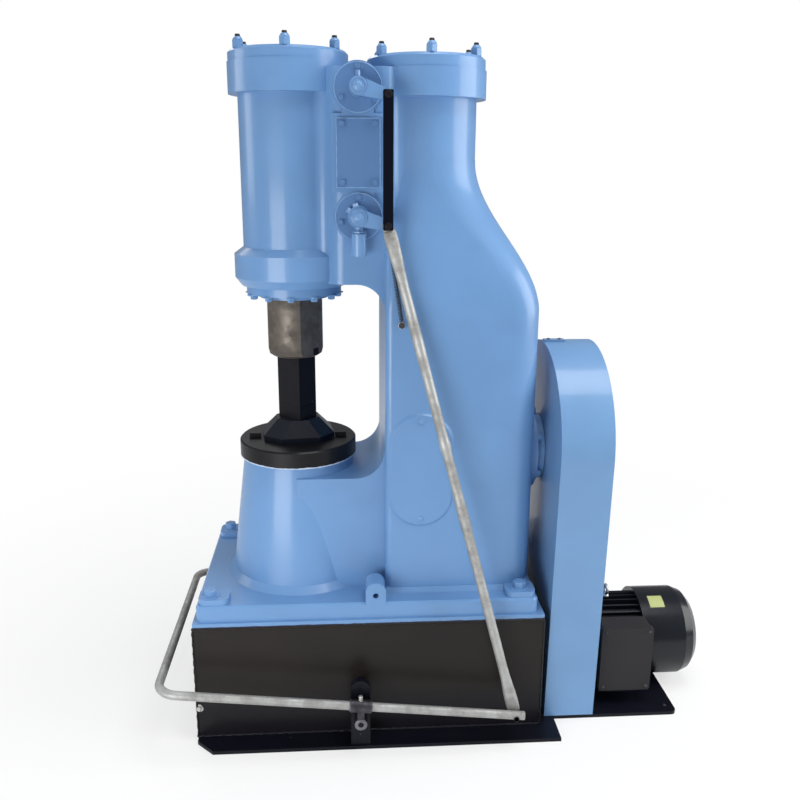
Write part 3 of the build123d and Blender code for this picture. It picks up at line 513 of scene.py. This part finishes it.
FINISHES = {
    cast_blue: ["frame_casting", "work_cylinder_cover", "compression_cylinder_cover",
                "work_cover_nuts", "compression_cover_nuts", "gland_plate", "crankcase_cover",
                "far_crankcase_cover", "bearing_housing", "upper_valve_arm", "lower_valve_arm",
                "lever_socket", "upper_valve_shaft", "lower_valve_shaft"],
    # The covers take the darker blue of painted shade.
    shaded_cover_blue: ["upper_valve_cover", "lower_valve_cover", "middle_cover", "far_valve_covers"],
    sheet_blue: ["belt_guard", "guard_strap"],
    top_blue: ["base_top_plate"],
    box_black: ["base_box"],
    plate_black: ["base_floor_plate", "motor_plate", "near_treadle_bracket",
                  "far_treadle_bracket"],
    iron_black: ["anvil_ring", "die_keys"],
    holder_black: ["die_holder"],
    die_black: ["lower_die", "upper_die"],
    motor_black: ["motor_cowl"],
    fin_black: ["motor_body"],
    lid_grey: ["terminal_box"],
    link_black: ["valve_link"],
    bar_steel: ["treadle_bar", "pull_rod", "crank_shaft"],
    ram_steel: ["ram"],
    dark_steel: ["near_treadle_sleeve", "far_treadle_sleeve", "rod_bolt", "spring_bolt"],
}
for material, names in FINISHES.items():
    for name in names:
        nodes[name].data.materials.clear()
        nodes[name].data.materials.append(material)


# ---------- places on the machine ----------

def box_of(name):
    """Lowest and highest corner of a CAD node."""
    low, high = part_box(name)
    return np.array(low), np.array(high)


def on_side(side, x, distance, z):
    """A place on one side of the machine with the axis that points out of it."""
    return (x, side * distance, z), (0, side, 0)


def both_sides(spots, distance):
    """The places of the same (x, z) spots on the near side, and those on the far side."""
    return [[on_side(side, x, distance, z) for x, z in spots] for side in (NEAR, FAR)]


def near_face(name, inset):
    """A place at the middle of a node's near side, moved in by inset, with its axis."""
    low, high = box_of(name)
    return ((low[0] + high[0]) / 2, low[1] + inset, (low[2] + high[2]) / 2), TO_NEAR


def inset_corners(low, high, inset):
    """The four (x, z) corners of a box seen from its side, each drawn in by inset."""
    return [(x, z) for x in (low[0] + inset, high[0] - inset)
            for z in (low[2] + inset, high[2] - inset)]


VALVE_X = 0.133
UPPER_VALVE_Z = 1.317
LOWER_VALVE_Z = 1.083
VALVES = (("upper_valve", UPPER_VALVE_Z), ("lower_valve", LOWER_VALVE_Z))
VALVE_BOLT_CIRCLE = 0.036
VALVE_BOLT_ANGLES = ((UPPER_VALVE_Z, (90, 210, 330)), (LOWER_VALVE_Z, (90, 196, 351)))

valve_face = -box_of("upper_valve_cover")[0][1]
middle_low, middle_high = box_of("middle_cover")
middle_face = -middle_low[1]
oval_low, oval_high = box_of("crankcase_cover")
oval_x = (oval_low[0] + oval_high[0]) / 2


# ---------- rows of fasteners on the frame ----------

COVER_INSET = 0.011        # from a cover's edge to its screws
GLAND_Z = 0.940
GLAND_THICKNESS = 0.017
GLAND_BOLT_COUNT = 12
GLAND_BOLT_CIRCLE = 0.0905
GLAND_FIRST_BOLT = -91.4   # degrees
HOUSING_FLANGE = 0.016
HOUSING_BOLT_CIRCLE = 0.081
HOUSING_BOLT_COUNT = 6
FOOT_PAD_TOP = 0.319
FOOT_BOLT_X = (-0.180, 0.466)
FOOT_BOLT_Y = 0.172
STRAP_INSET = 0.010
LID_INSET = 0.009
MOTOR_FOOT_X = (0.690, 0.750)
MOTOR_FOOT_Y = 0.092
MOTOR_FOOT_TOP = 0.020
PLATE_SCREW = (0.812, 0.158, 0.008)   # x, distance from the middle plane, z


def frame_rows():
    """Yields (name, places, slot, material, maker, size) of each row that stays with the frame."""
    valve_spots = [(VALVE_X + dx, z + dz) for z, angles in VALVE_BOLT_ANGLES
                   for dx, dz in (polar(VALVE_BOLT_CIRCLE, angle) for angle in angles)]
    middle_spots = inset_corners(middle_low, middle_high, COVER_INSET)
    valves, far_valves = both_sides(valve_spots, valve_face)
    middles, far_middles = both_sides(middle_spots, middle_face)
    # The cover bolts take the covers' darker blue of painted shade.
    yield "valve_cover_bolts", valves, "casting_paint", shaded_cover_blue, hex_bolt, (0.0098, 0.0050)
    yield "middle_cover_bolts", middles, "casting_paint", shaded_cover_blue, hex_bolt, (0.011, 0.0055)
    far_covers = far_valves + far_middles
    yield "far_cover_bolts", far_covers, "casting_paint", shaded_cover_blue, hex_bolt, (0.011, 0.0055)

    ovals = [on_side(side, oval_x, -oval_low[1], z) for side in (NEAR, FAR)
             for z in (oval_low[2] + COVER_INSET, oval_high[2] - COVER_INSET)]
    yield "oval_cover_screws", ovals, "casting_paint", cast_blue, pan_screw, (0.0068, 0.0036)

    gland = [((x, y, GLAND_Z - GLAND_THICKNESS), DOWN)
             for x, y in ring_of(GLAND_BOLT_COUNT, GLAND_FIRST_BOLT, GLAND_BOLT_CIRCLE)]
    yield "gland_bolts", gland, "casting_paint", cast_blue, hex_bolt, (0.013, 0.008)

    low, high = box_of("bearing_housing")
    housing = [((low[0] + HOUSING_FLANGE, dy, (low[2] + high[2]) / 2 + dz), TO_MOTOR)
               for dy, dz in ring_of(HOUSING_BOLT_COUNT, 30, HOUSING_BOLT_CIRCLE)]
    yield "bearing_housing_bolts", housing, "casting_paint", cast_blue, hex_bolt, (0.013, 0.008)

    feet = [((x, side * FOOT_BOLT_Y, FOOT_PAD_TOP), UP) for x in FOOT_BOLT_X
            for side in (NEAR, FAR)]
    yield "holding_down_bolts", feet, "casting_paint", cast_blue, hex_bolt, (0.024, 0.013)

    low, high = box_of("guard_strap")
    strap = [((x, 0, high[2]), UP) for x in (low[0] + STRAP_INSET, high[0] - STRAP_INSET)]
    yield "guard_strap_screws", strap, "dark_steel", dark_steel, pan_screw, (0.0045, 0.0028)

    low, high = box_of("terminal_box")
    lid = [on_side(NEAR, x, -low[1], z) for x, z in inset_corners(low, high, LID_INSET)]
    yield "terminal_box_screws", lid, "dark_steel", dark_steel, pan_screw, (0.0038, 0.0022)

    motor = [((x, side * MOTOR_FOOT_Y, MOTOR_FOOT_TOP), UP) for x in MOTOR_FOOT_X
             for side in (NEAR, FAR)]
    yield "motor_foot_bolts", motor, "dark_steel", dark_steel, hex_bolt, (0.013, 0.008)

    x, y, z = PLATE_SCREW
    plate = [((x, side * y, z), UP) for side in (NEAR, FAR)]
    yield "motor_plate_screws", plate, "dark_steel", dark_steel, pan_screw, (0.0042, 0.0024)


for name, places, slot, material, maker, size in frame_rows():
    fasteners(name, places, "frame", slot, material, maker, size)


# ---------- fasteners of the linkage ----------

ARM_REACH, ARM_ANGLE = 0.056, -15.5
PIN_CLIP = ((0.0072, 0.0), (0.0072, 0.0012), (0.0058, 0.0016))
ARM_SET_BOLT = ((VALVE_X, -0.1385, UPPER_VALVE_Z + 0.0163), UP)
HUB_BOLT_Y = -0.1335
HUB_BOLT_OFFSETS = ((-0.0175, 0.011), (-0.006, 0.0198))

pin_face = box_of("upper_valve_arm")[0][1]
for body, z in VALVES:
    dx, dz = polar(ARM_REACH, ARM_ANGLE)
    clip = turned(PIN_CLIP, (VALVE_X + dx, pin_face, z + dz), TO_NEAR, 20)
    mesh_piece(f"{body}_pin_clip", *clip, body, "dark_steel", die_black)
fasteners("upper_arm_set_bolt", [ARM_SET_BOLT], "upper_valve", "casting_paint", cast_blue,
          hex_bolt, (0.0078, 0.012), washer=False)
hub_bolts = [((VALVE_X + dx, HUB_BOLT_Y, LOWER_VALVE_Z + dz), (dx, 0, dz))
             for dx, dz in HUB_BOLT_OFFSETS]
fasteners("lower_hub_set_bolts", hub_bolts, "lower_valve", "casting_paint", cast_blue,
          hex_bolt, (0.010, 0.006), washer=False)
fasteners("rod_bolt_head", [near_face("rod_bolt", 0.002)], "treadle", "dark_steel", dark_steel,
          hex_bolt, (0.011, 0.002), washer=False)


# ---------- treadle pivots ----------

PIVOT_X, PIVOT_Z = 0.127, 0.078
PIVOT_FACE = 0.286         # from the middle plane to the outer end of the bush
BAR_Y = 0.274
BAR_LINE = (-0.748, 0.0, 0.080)
SLEEVE_HALF_LENGTH = 0.0212
SLEEVE_RADIUS = 0.0152
SLEEVE_WELD_RADIUS = 0.0103
SLEEVE_BEAD = 0.0021
SLEEVE_SEED = SEED + 40
SET_BOLT_DROP = 0.0028
BUSH_RING = ((0.0125, -EMBED), (0.0125, 0.0008), (0.0105, 0.0013), (0.0064, 0.0009))
PIVOT_END = ((0.0060, 0.0), (0.0058, 0.0012), (0.0048, 0.0014))

bar_axis = axes_for(BAR_LINE)[2]
for side, word in SIDES:
    low, high = box_of(f"{word}_treadle_sleeve")
    top = ((low[0] + high[0]) / 2, side * BAR_Y, high[2] - SET_BOLT_DROP)
    fasteners(f"{word}_sleeve_set_bolt", [(top, UP)], "treadle", "dark_steel", zinc_steel,
              hex_bolt, (0.008, 0.011), washer=False)
    outer_end = on_side(side, PIVOT_X, PIVOT_FACE, PIVOT_Z)
    mesh_piece(f"{word}_bush_ring", *turned(BUSH_RING, *outer_end, 28), "treadle", "dark_steel",
               bead_grey)
    mesh_piece(f"{word}_pivot_end", *turned(PIVOT_END, *outer_end, 20), "frame", "dark_steel",
               die_black)
    middle = np.array([PIVOT_X, side * BAR_Y, high[2] - SLEEVE_RADIUS])
    for end, lean in ((-1, "back"), (1, "front")):
        path = circle(middle + end * SLEEVE_HALF_LENGTH * bar_axis, BAR_LINE, SLEEVE_WELD_RADIUS,
                      np.linspace(0, 2 * math.pi, 30))
        bead(f"{word}_sleeve_weld_{lean}", path, SLEEVE_BEAD, "treadle", "dark_steel", bead_grey,
             SLEEVE_SEED + end)


# ---------- return spring ----------

SPRING_FOOT = np.array([0.214, -0.160, 0.8853])
SPRING_TOP = np.array([0.18696, -0.153, 1.0577])
HOOK_LENGTH = 0.050
HOOK_WIRE = 0.0011
COIL_RADIUS = 0.0036
COIL_WIRE = 0.0008
COIL_TURNS = 44
COIL_STEPS = 14            # points on one turn


def coil(low, high, radius, wire, turns):
    """Helix: a tube round low + t (high - low) + radius e(t) (cos 2 pi n t u + sin 2 pi n t v),
    where e(t) draws the turns at both ends in towards the axis."""
    u, v, _ = axes_for(high - low)
    t = np.linspace(0, 1, turns * COIL_STEPS)
    a = 2 * math.pi * turns * t
    drawn_in = np.minimum(1, np.minimum(t, 1 - t) * 30 + 0.15)
    path = (low + t[:, None] * (high - low)
            + radius * drawn_in[:, None] * (np.cos(a)[:, None] * u + np.sin(a)[:, None] * v))
    return tube(path, wire, 6)


spring_line = (SPRING_TOP - SPRING_FOOT) / np.linalg.norm(SPRING_TOP - SPRING_FOOT)
coil_top = SPRING_TOP - spring_line * HOOK_LENGTH
hook = [coil_top - spring_line * 0.002, coil_top + spring_line * 0.025, SPRING_TOP]
spring = mesh_piece("coiled_return_spring", *joined([
    coil(SPRING_FOOT, coil_top, COIL_RADIUS, COIL_WIRE, COIL_TURNS),
    tube(hook, HOOK_WIRE, 8),
]), None, "dark_steel", dark_steel)
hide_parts("return_spring")
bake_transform(spring)
fasteners("spring_bolt_head", [near_face("spring_bolt", 0.004)], "frame", "dark_steel", zinc_steel,
          hex_bolt, (0.013, 0.0025), washer=False)


# ---------- pull rod ----------

ROD_FOOT = np.array([0.448, -0.2605, 0.076])
ROD_TOP = np.array([0.18696, -0.1635, 1.06803])
ROD_SIDES = 24
# Distance from the rod's end, half width, and half thickness outwards and inwards, in millimetres
FOOT_WIDTHS = ((3, 11.5, 3.95, 3.4), (12, 13.2, 4.9, 3.1), (24, 13.6, 7.6, 5.4),
               (36, 13.4, 10.3, 9.8), (48, 13.0, 11.2, 9.8), (60, 12.0, 10.8, 9.8),
               (80, 10.5, 9.9, 9.8), (105, 9.8, 9.8, 9.8))
TOP_WIDTHS = ((105, 9.8, 9.8, 9.8), (85, 10.2, 9.8, 9.7), (60, 12.2, 9.7, 9.65),
              (40, 12.7, 9.7, 9.6), (28, 12.9, 7.2, 5.8), (18, 12.8, 3.9, 5.1),
              (9.5, 11.4, 3.3, 4.6))
ROUND_FROM = 0.105         # nearer its ends than this the rod is squared off
SQUARED = 2 / 2.5
# (height, place along the rod, spread) of its lumps, and (waves along, waves round) of its dents
ROD_LUMPS = ((0.0021, 0.592, 0.011), (0.0013, 0.443, 0.030), (0.0007, 0.80, 0.045))
DENT_DEPTH = 0.00005
DENT_WAVES = ((61, 0), (97, 1), (151, 2), (233, 1), (310, 3), (420, 2))


def rod_skin():
    """Hand-forged rod: the point at (s, a) is axis(s) + (w(s) + g) c(a) e1 + (t(s, side) + g)
    c'(a) e2. Here w and t are eased between the forged widths, g(s, a) is the rod's lumps and
    dents, and c and c' are cos a and sin a, near the ends to the power SQUARED, sign kept."""
    length = float(np.linalg.norm(ROD_TOP - ROD_FOOT))
    along = (ROD_TOP - ROD_FOOT) / length
    across = np.array([along[2], 0.0, -along[0]]) / math.hypot(along[0], along[2])
    outward = np.array([0.0, -1.0, 0.0])
    knots = list(FOOT_WIDTHS) + [(length * 1e3 - end, *widths) for end, *widths in TOP_WIDTHS]
    at, wide, out_side, in_side = np.array(knots).T / 1e3
    s = np.concatenate([np.linspace(at[0], 0.11, 30), np.linspace(0.12, length - 0.12, 130),
                        np.linspace(length - 0.11, at[-1], 30)])
    a = round_angles(ROD_SIDES)
    w, t_out, t_in = (np.interp(s, at, values) for values in (wide, out_side, in_side))
    lumps = sum(height * np.exp(-((s - place) / spread) ** 2)
                for height, place, spread in ROD_LUMPS)
    phases = np.random.default_rng(SEED).uniform(0, 2 * math.pi, len(DENT_WAVES))
    dents = sum(DENT_DEPTH * np.sin(s[:, None] * f + m * a[None] + phase)
                for (f, m), phase in zip(DENT_WAVES, phases))
    middle = ((s > ROUND_FROM) & (s < length - ROUND_FROM))[:, None]
    c, d = (np.where(middle, wave, np.sign(wave) * np.abs(wave) ** SQUARED)
            for wave in (np.cos(a), np.sin(a)))
    t = np.where(np.sin(a) > 0, t_out[:, None], t_in[:, None])
    grow = np.where(middle, lumps[:, None], 0) + np.where(middle, dents, 0)
    points = (ROD_FOOT + s[:, None, None] * along
              + (w[:, None] + grow)[..., None] * c[..., None] * across
              + (t + grow)[..., None] * d[..., None] * outward)
    return points.reshape(-1, 3), ring_faces(len(s), ROD_SIDES)


mesh_piece("forged_rod_skin", *rod_skin(), "pull_rod", "dark_steel", bar_steel)


# ---------- edges of the covers ----------

OVAL_FACE = 0.1589         # from the middle plane to the oval cover's face
OVAL_STEPS = 72
# How far each ring of the edge reaches out from the cover's outline and drops from its face
OVAL_EDGE = ((0.0, 0.0), (0.0008, 0.0002), (0.0024, 0.0017), (0.0044, 0.0037),
             (0.0056, 0.0047), (0.0062, 0.0049), (0.0062, 0.0059), (-0.003, 0.0059))
VALVE_LIP = (0.0443, 0.0009)   # radius, wire
VALVE_LIP_SUNK = 0.0002
MIDDLE_LIP_WIRE = 0.0008
MIDDLE_LIP_INSET = 0.001
MIDDLE_LIP_SUNK = 0.0003
MIDDLE_LIP_SEED = SEED + 60


def oval_roll(side):
    """Sloped edge round the oval cover: the point at (k, a) is (x + (h + reach k) cos a,
    side (face - drop k), z + lift(a) + (h + reach k) sin a), with lift half the straight part."""
    half = (oval_high[0] - oval_low[0]) / 2
    straight = (oval_high[2] - oval_low[2] - oval_high[0] + oval_low[0]) / 2
    reach, drop = np.array(OVAL_EDGE).T[:, :, None]
    rows = len(OVAL_EDGE)
    a = np.linspace(0, 2 * math.pi, OVAL_STEPS + 1)[:-1]
    lift = np.where(np.sin(a) >= 0, straight, -straight)
    y = np.broadcast_to(side * (OVAL_FACE - drop), (rows, OVAL_STEPS))
    points = np.stack([oval_x + (half + reach) * np.cos(a), y,
                       (oval_low[2] + oval_high[2]) / 2 + lift + (half + reach) * np.sin(a)], -1)
    faces = grid_faces(rows + 1, OVAL_STEPS, True) % (rows * OVAL_STEPS)
    return points.reshape(-1, 3), faces[:, ::-1] if side > 0 else faces


low_left, high_left, low_right, high_right = inset_corners(middle_low, middle_high,
                                                           MIDDLE_LIP_INSET)
for side, word in SIDES:
    mesh_piece(f"{word}_oval_roll", *oval_roll(side), "frame", "casting_paint", cast_blue)
    # The lips round the valve covers and the middle cover are in the lighter blue of painted
    # highlight.
    lips = [hoop(*on_side(side, VALVE_X, valve_face - VALVE_LIP_SUNK, z), *VALVE_LIP)
            for _, z in VALVES]
    mesh_piece(f"{word}_valve_cover_lips", *joined(lips), "frame", "casting_paint", highlight_blue)
    outline = [(x, side * (middle_face - MIDDLE_LIP_SUNK), z)
               for x, z in (low_left, low_right, high_right, high_left, low_left)]
    bead(f"{word}_middle_cover_lip", outline, MIDDLE_LIP_WIRE, "frame", "casting_paint", highlight_blue,
         MIDDLE_LIP_SEED)


# ---------- hubs, socket, nuts and studs ----------

HUB_FACE_Y = -0.1620
# (profile, sides) of the rings on an arm's hub, from its flange to the shaft's tip
HUB_RINGS = ((((0.0152, -0.0032), (0.0152, -0.0010), (0.0140, 0.0), (0.0105, 0.0)), 32),
             (((0.0098, -0.0002), (0.0098, 0.0018), (0.0088, 0.0028)), 28),
             (((0.0066, 0.0026), (0.0066, 0.0044), (0.0056, 0.0054), (0.0020, 0.0058)), 24))
# (distance from the hub's face, radius, wire, points) of its rings of painted highlight
HUB_EDGES = ((0.0002, 0.0143, 0.0006, 40), (0.0026, 0.0092, 0.0005, 32))
SOCKET_Y = -0.140
SOCKET_COLLAR_Z, SOCKET_RING_Z = 1.0525, 1.0590
SOCKET_RING = (0.0086, 0.0010, 30)   # radius, wire, points
SOCKET_COLLAR = ((0.0108, 0.0), (0.0124, 0.0012), (0.0124, 0.0040), (0.0108, 0.0052))
STUD_ROWS = ((0.0, "work_cover_nuts"), (0.271, "compression_cover_nuts"))
STUD_CIRCLE = 0.105
STUD_COUNT = 6
STUD_STAND = 0.011         # from a nut's flat top to the stud's end
NUT_CROWN = ((0.0097, -EMBED), (0.0092, 0.0020), (0.0078, 0.0046), (0.0060, 0.0066))
STUD_TIP = ((0.0053, 0.0064), (0.0050, 0.0085), (0.00462, 0.01085))
BOX_NUT = ((-0.2095, -0.2078, 0.077), (-0.3, -1, 0))
KEY_PLACE = ((0.0431, -0.0261, 0.8005), (1, -1, 0))
KEY_END = ((0.0105, -0.003), (0.0105, 0.0001), (0.0098, 0.0003))

for body, z in VALVES:
    rings = [turned(profile, (VALVE_X, HUB_FACE_Y, z), TO_NEAR, sides)
             for profile, sides in HUB_RINGS]
    mesh_piece(f"{body}_hub_rings", *joined(rings), body, "casting_paint", cast_blue)
    # Thin rings on the hub in the lighter blue of painted highlight.
    edges = [hoop((VALVE_X, HUB_FACE_Y - out, z), TO_NEAR, radius, wire, count)
             for out, radius, wire, count in HUB_EDGES]
    mesh_piece(f"{body}_hub_highlight_ring", *joined(edges), body, "casting_paint", highlight_blue)
collar = [turned(SOCKET_COLLAR, (VALVE_X, SOCKET_Y, SOCKET_COLLAR_Z), UP, 8),
          hoop((VALVE_X, SOCKET_Y, SOCKET_RING_Z), UP, *SOCKET_RING)]
mesh_piece("lever_socket_collar", *joined(collar), "lower_valve", "casting_paint", cast_blue,
           smooth=False)

nut_tops = []
for centre_x, nuts in STUD_ROWS:
    top_z = box_of(nuts)[1][2] - STUD_STAND
    nut_tops += [(centre_x + dx, dy, top_z) for dx, dy in ring_of(STUD_COUNT, 30, STUD_CIRCLE)]
crowns = [turned(NUT_CROWN, top, UP, 18) for top in nut_tops]
tips = [turned(STUD_TIP, top, UP, 16) for top in nut_tops]
mesh_piece("nut_crowns", *joined(crowns), "frame", "casting_paint", cast_blue)
mesh_piece("stud_tips", *joined(tips), "frame", "dark_steel", lid_grey)

mesh_piece("die_key_end", *turned(KEY_END, *KEY_PLACE, 4, math.pi / 4), "ram", "dark_steel",
           die_black, smooth=False)
fasteners("box_edge_nut", [BOX_NUT], "frame", "dark_steel", zinc_steel, hex_bolt, (0.010, 0.005))


# ---------- welds ----------

FLOOR_TOP = 0.008
FLOOR_BEAD = 0.0032
BOX_BEAD = 0.0022

wall_low, wall_high = box_of("base_box")
corners = [(wall_low[0], wall_low[1]), (wall_high[0], wall_low[1]), (wall_high[0], wall_high[1]),
           (wall_low[0], wall_high[1])]


def round_the_box(z):
    """The path round the welded box at a height, back to its start."""
    return [(x, y, z) for x, y in corners + corners[:1]]


bead("floor_weld", round_the_box(FLOOR_TOP + 0.001), FLOOR_BEAD, "frame", "plate_steel",
     plate_black, SEED)
bead("top_weld", round_the_box(wall_high[2] - 0.0015), BOX_BEAD, "frame", "base_paint", box_black,
     SEED + 1)
for k, (x, y) in enumerate(corners):
    bead(f"corner_weld_{k}", [(x, y, FLOOR_TOP), (x, y, wall_high[2] - 0.002)], BOX_BEAD, "frame",
         "base_paint", box_black, SEED + 2 + k)


# ---------- motor details ----------

COWL_RADIUS = 0.101
GRILLE_RINGS = (0.020, 0.032, 0.044, 0.056, 0.068)
SPOKE_RADII = (0.012, 0.045, 0.072)
SPOKE_COUNT = 8
GRILLE_WIRE = 0.0017
GRILLE_DEPTH = 0.0018
LABEL_X = (0.803, 0.837)
LABEL_ANGLES = (58, 77)
LABEL_LIFT = 0.0002
EYE_X = 0.712
EYE_CENTRE_Z = 0.2165
EYE_RING = (0.0105, 0.0033, 33, 8)   # radius, wire, points, sides
EYE_SEAT_Z = 0.1985
EYE_STEM = ((0.008, 0), (0.008, 0.004), (0.0045, 0.006), (0.0045, 0.010))

cowl_low, cowl_high = box_of("motor_cowl")
cowl_z = (cowl_low[2] + cowl_high[2]) / 2
grille_x = cowl_high[0] - GRILLE_DEPTH
grille = [hoop((grille_x, 0, cowl_z), TO_MOTOR, radius, GRILLE_WIRE, 49)
          for radius in GRILLE_RINGS]
for spoke in zip(*(ring_of(SPOKE_COUNT, 22.5, radius) for radius in SPOKE_RADII)):
    grille.append(tube([(grille_x, dy, cowl_z + dz) for dy, dz in spoke], GRILLE_WIRE, 6))
mesh_piece("cowl_grille", *joined(grille), "frame", "motor_paint", motor_black)


def cowl_label():
    """Patch on the cowl: the point at (x, a) is (x, -r cos a, z + r sin a), with r the cowl's
    radius and the label's lift."""
    x, a = np.meshgrid(np.linspace(*LABEL_X, 5), np.radians(np.linspace(*LABEL_ANGLES, 9)),
                       indexing="ij")
    r = COWL_RADIUS + LABEL_LIFT
    points = np.stack([x, -r * np.cos(a), cowl_z + r * np.sin(a)], -1).reshape(-1, 3)
    return points, grid_faces(5, 9, False)[:, ::-1]


mesh_piece("cowl_label", *cowl_label(), "frame", "motor_paint", label_yellow)
eye_bolt = [hoop((EYE_X, 0, EYE_CENTRE_Z), TO_MOTOR, *EYE_RING, start=-math.pi / 2),
            turned(EYE_STEM, (EYE_X, 0, EYE_SEAT_Z), UP, 16)]
mesh_piece("motor_eye_bolt", *joined(eye_bolt), "frame", "dark_steel", zinc_steel)


# ---------- camera ----------

CAMERA_AT = (0.0998, -1.7988, 1.1714)
CAMERA_PITCH = 15.093      # degrees below level
CAMERA_YAW = 3.902
CAMERA_ROLL = 0.305
LENS = 38.52
SENSOR = 36


def turn_about(axis, degrees):
    """3 by 3 matrix of a turn about X, Y or Z."""
    angle = math.radians(degrees)
    i, j = {"X": (1, 2), "Y": (2, 0), "Z": (0, 1)}[axis]
    m = np.eye(3)
    m[i, i] = m[j, j] = math.cos(angle)
    m[i, j], m[j, i] = -math.sin(angle), math.sin(angle)
    return m


camera_data = bpy.data.cameras.new("camera")
camera_data.lens = LENS
camera_data.sensor_width = SENSOR
camera = bpy.data.objects.new("camera", camera_data)
bpy.context.scene.collection.objects.link(camera)
camera.location = CAMERA_AT
camera.rotation_mode = "XYZ"
camera_turn = (turn_about("Z", -CAMERA_YAW) @ turn_about("X", 90 - CAMERA_PITCH)
               @ turn_about("Z", CAMERA_ROLL))
camera.rotation_euler = Matrix(camera_turn.tolist()).to_euler()
bpy.context.scene.camera = camera


# ---------- stage and light ----------

WHITE = (1, 1, 1, 1)
FLOOR_REACH = 30
LAMPS = (  # name, place, aim, size, power
    ("key", (-1.2, -2.1, 0.38), (0.1, 0, 0.18), 1.4, 42),
    ("side", (2.9, -0.4, 1.4), (0.35, 0, 0.8), 2.0, 60),
    ("left", (-2.8, 0.5, 1.6), (0.1, 0, 0.8), 1.2, 16),
    ("top", (0.9, -0.6, 3.3), (0.4, 0, 0.6), 1.6, 50),
    ("back", (-0.9, 2.6, 3.0), (0.2, 0, 0.8), 1.6, 26),
)


def seen_directly(tree):
    """1 for rays from the camera, straight or through glass, and 0 for the rest."""
    ray = tree.nodes.new("ShaderNodeLightPath").outputs
    return maths(tree, "MAXIMUM", ray["Is Camera Ray"], ray["Is Transmission Ray"])


def mix_shaders(tree, factor, a, b, out):
    """Feeds an output's surface with shader a, or with b where the factor is 1."""
    both = tree.nodes.new("ShaderNodeMixShader")
    for socket, value in zip(both.inputs, (factor, a, b)):
        tree.links.new(value, socket)
    tree.links.new(both.outputs[0], out.inputs["Surface"])


def floor_material():
    """Pale diffuse floor. To the camera it fades to plain white away from the machine."""
    material = bpy.data.materials.new("floor_pale")
    material.use_nodes = True
    tree = material.node_tree
    shader = tree.nodes["Principled BSDF"]
    shader.inputs["Base Color"].default_value = (0.84, 0.84, 0.84, 1)
    shader.inputs["Roughness"].default_value = 0.9
    shader.inputs["Specular IOR Level"].default_value = 0.1
    white = tree.nodes.new("ShaderNodeEmission")
    white.inputs["Color"].default_value = WHITE
    place = tree.nodes.new("ShaderNodeNewGeometry")
    reach = tree.nodes.new("ShaderNodeVectorMath")
    reach.operation = "DISTANCE"
    reach.inputs[1].default_value = (0.3, 0.1, 0.0)
    tree.links.new(place.outputs["Position"], reach.inputs[0])
    fade = ramp(tree, reach.outputs["Value"], 0.5, 1.9, 0.62, 1.0)
    mix_shaders(tree, times(tree, fade, seen_directly(tree)), shader.outputs[0], white.outputs[0],
                tree.nodes["Material Output"])
    return material


def studio_world():
    """Dim light that falls off behind and below the machine. To the camera it is plain white."""
    world = bpy.data.worlds.new("studio")
    bpy.context.scene.world = world
    world.use_nodes = True
    tree = world.node_tree
    light = tree.nodes["Background"]
    light.inputs["Color"].default_value = (0.95, 0.97, 1.0, 1)
    sky = tree.nodes.new("ShaderNodeTexCoord")
    split = tree.nodes.new("ShaderNodeSeparateXYZ")
    tree.links.new(sky.outputs["Generated"], split.inputs[0])
    behind = ramp(tree, split.outputs["Y"], -0.4, 0.7, 0.38, 0.26)
    above = ramp(tree, split.outputs["Z"], -0.1, 0.9, 0.85, 1.15)
    tree.links.new(times(tree, behind, above), light.inputs["Strength"])
    white = tree.nodes.new("ShaderNodeBackground")
    white.inputs["Color"].default_value = WHITE
    mix_shaders(tree, seen_directly(tree), light.outputs[0], white.outputs[0],
                tree.nodes["World Output"])


def lamp(name, at, aim, size, power):
    """Square area lamp at a place, aimed at another."""
    data = bpy.data.lights.new(name, "AREA")
    data.size = size
    data.energy = power
    light = bpy.data.objects.new(name, data)
    bpy.context.scene.collection.objects.link(light)
    light.location = at
    axes = axes_for(np.asarray(at, float) - np.asarray(aim, float))
    light.rotation_euler = Matrix(np.stack(axes, 1).tolist()).to_euler()


floor_mesh = bpy.data.meshes.new("floor")
floor_mesh.from_pydata([(x * FLOOR_REACH, y * FLOOR_REACH, 0)
                        for x, y in ((-1, -1), (1, -1), (1, 1), (-1, 1))], [], [(0, 1, 2, 3)])
floor = bpy.data.objects.new("floor", floor_mesh)
bpy.context.scene.collection.objects.link(floor)
floor_mesh.materials.append(floor_material())
studio_world()
for row in LAMPS:
    lamp(*row)

bpy.context.scene.view_settings.view_transform = "Standard"
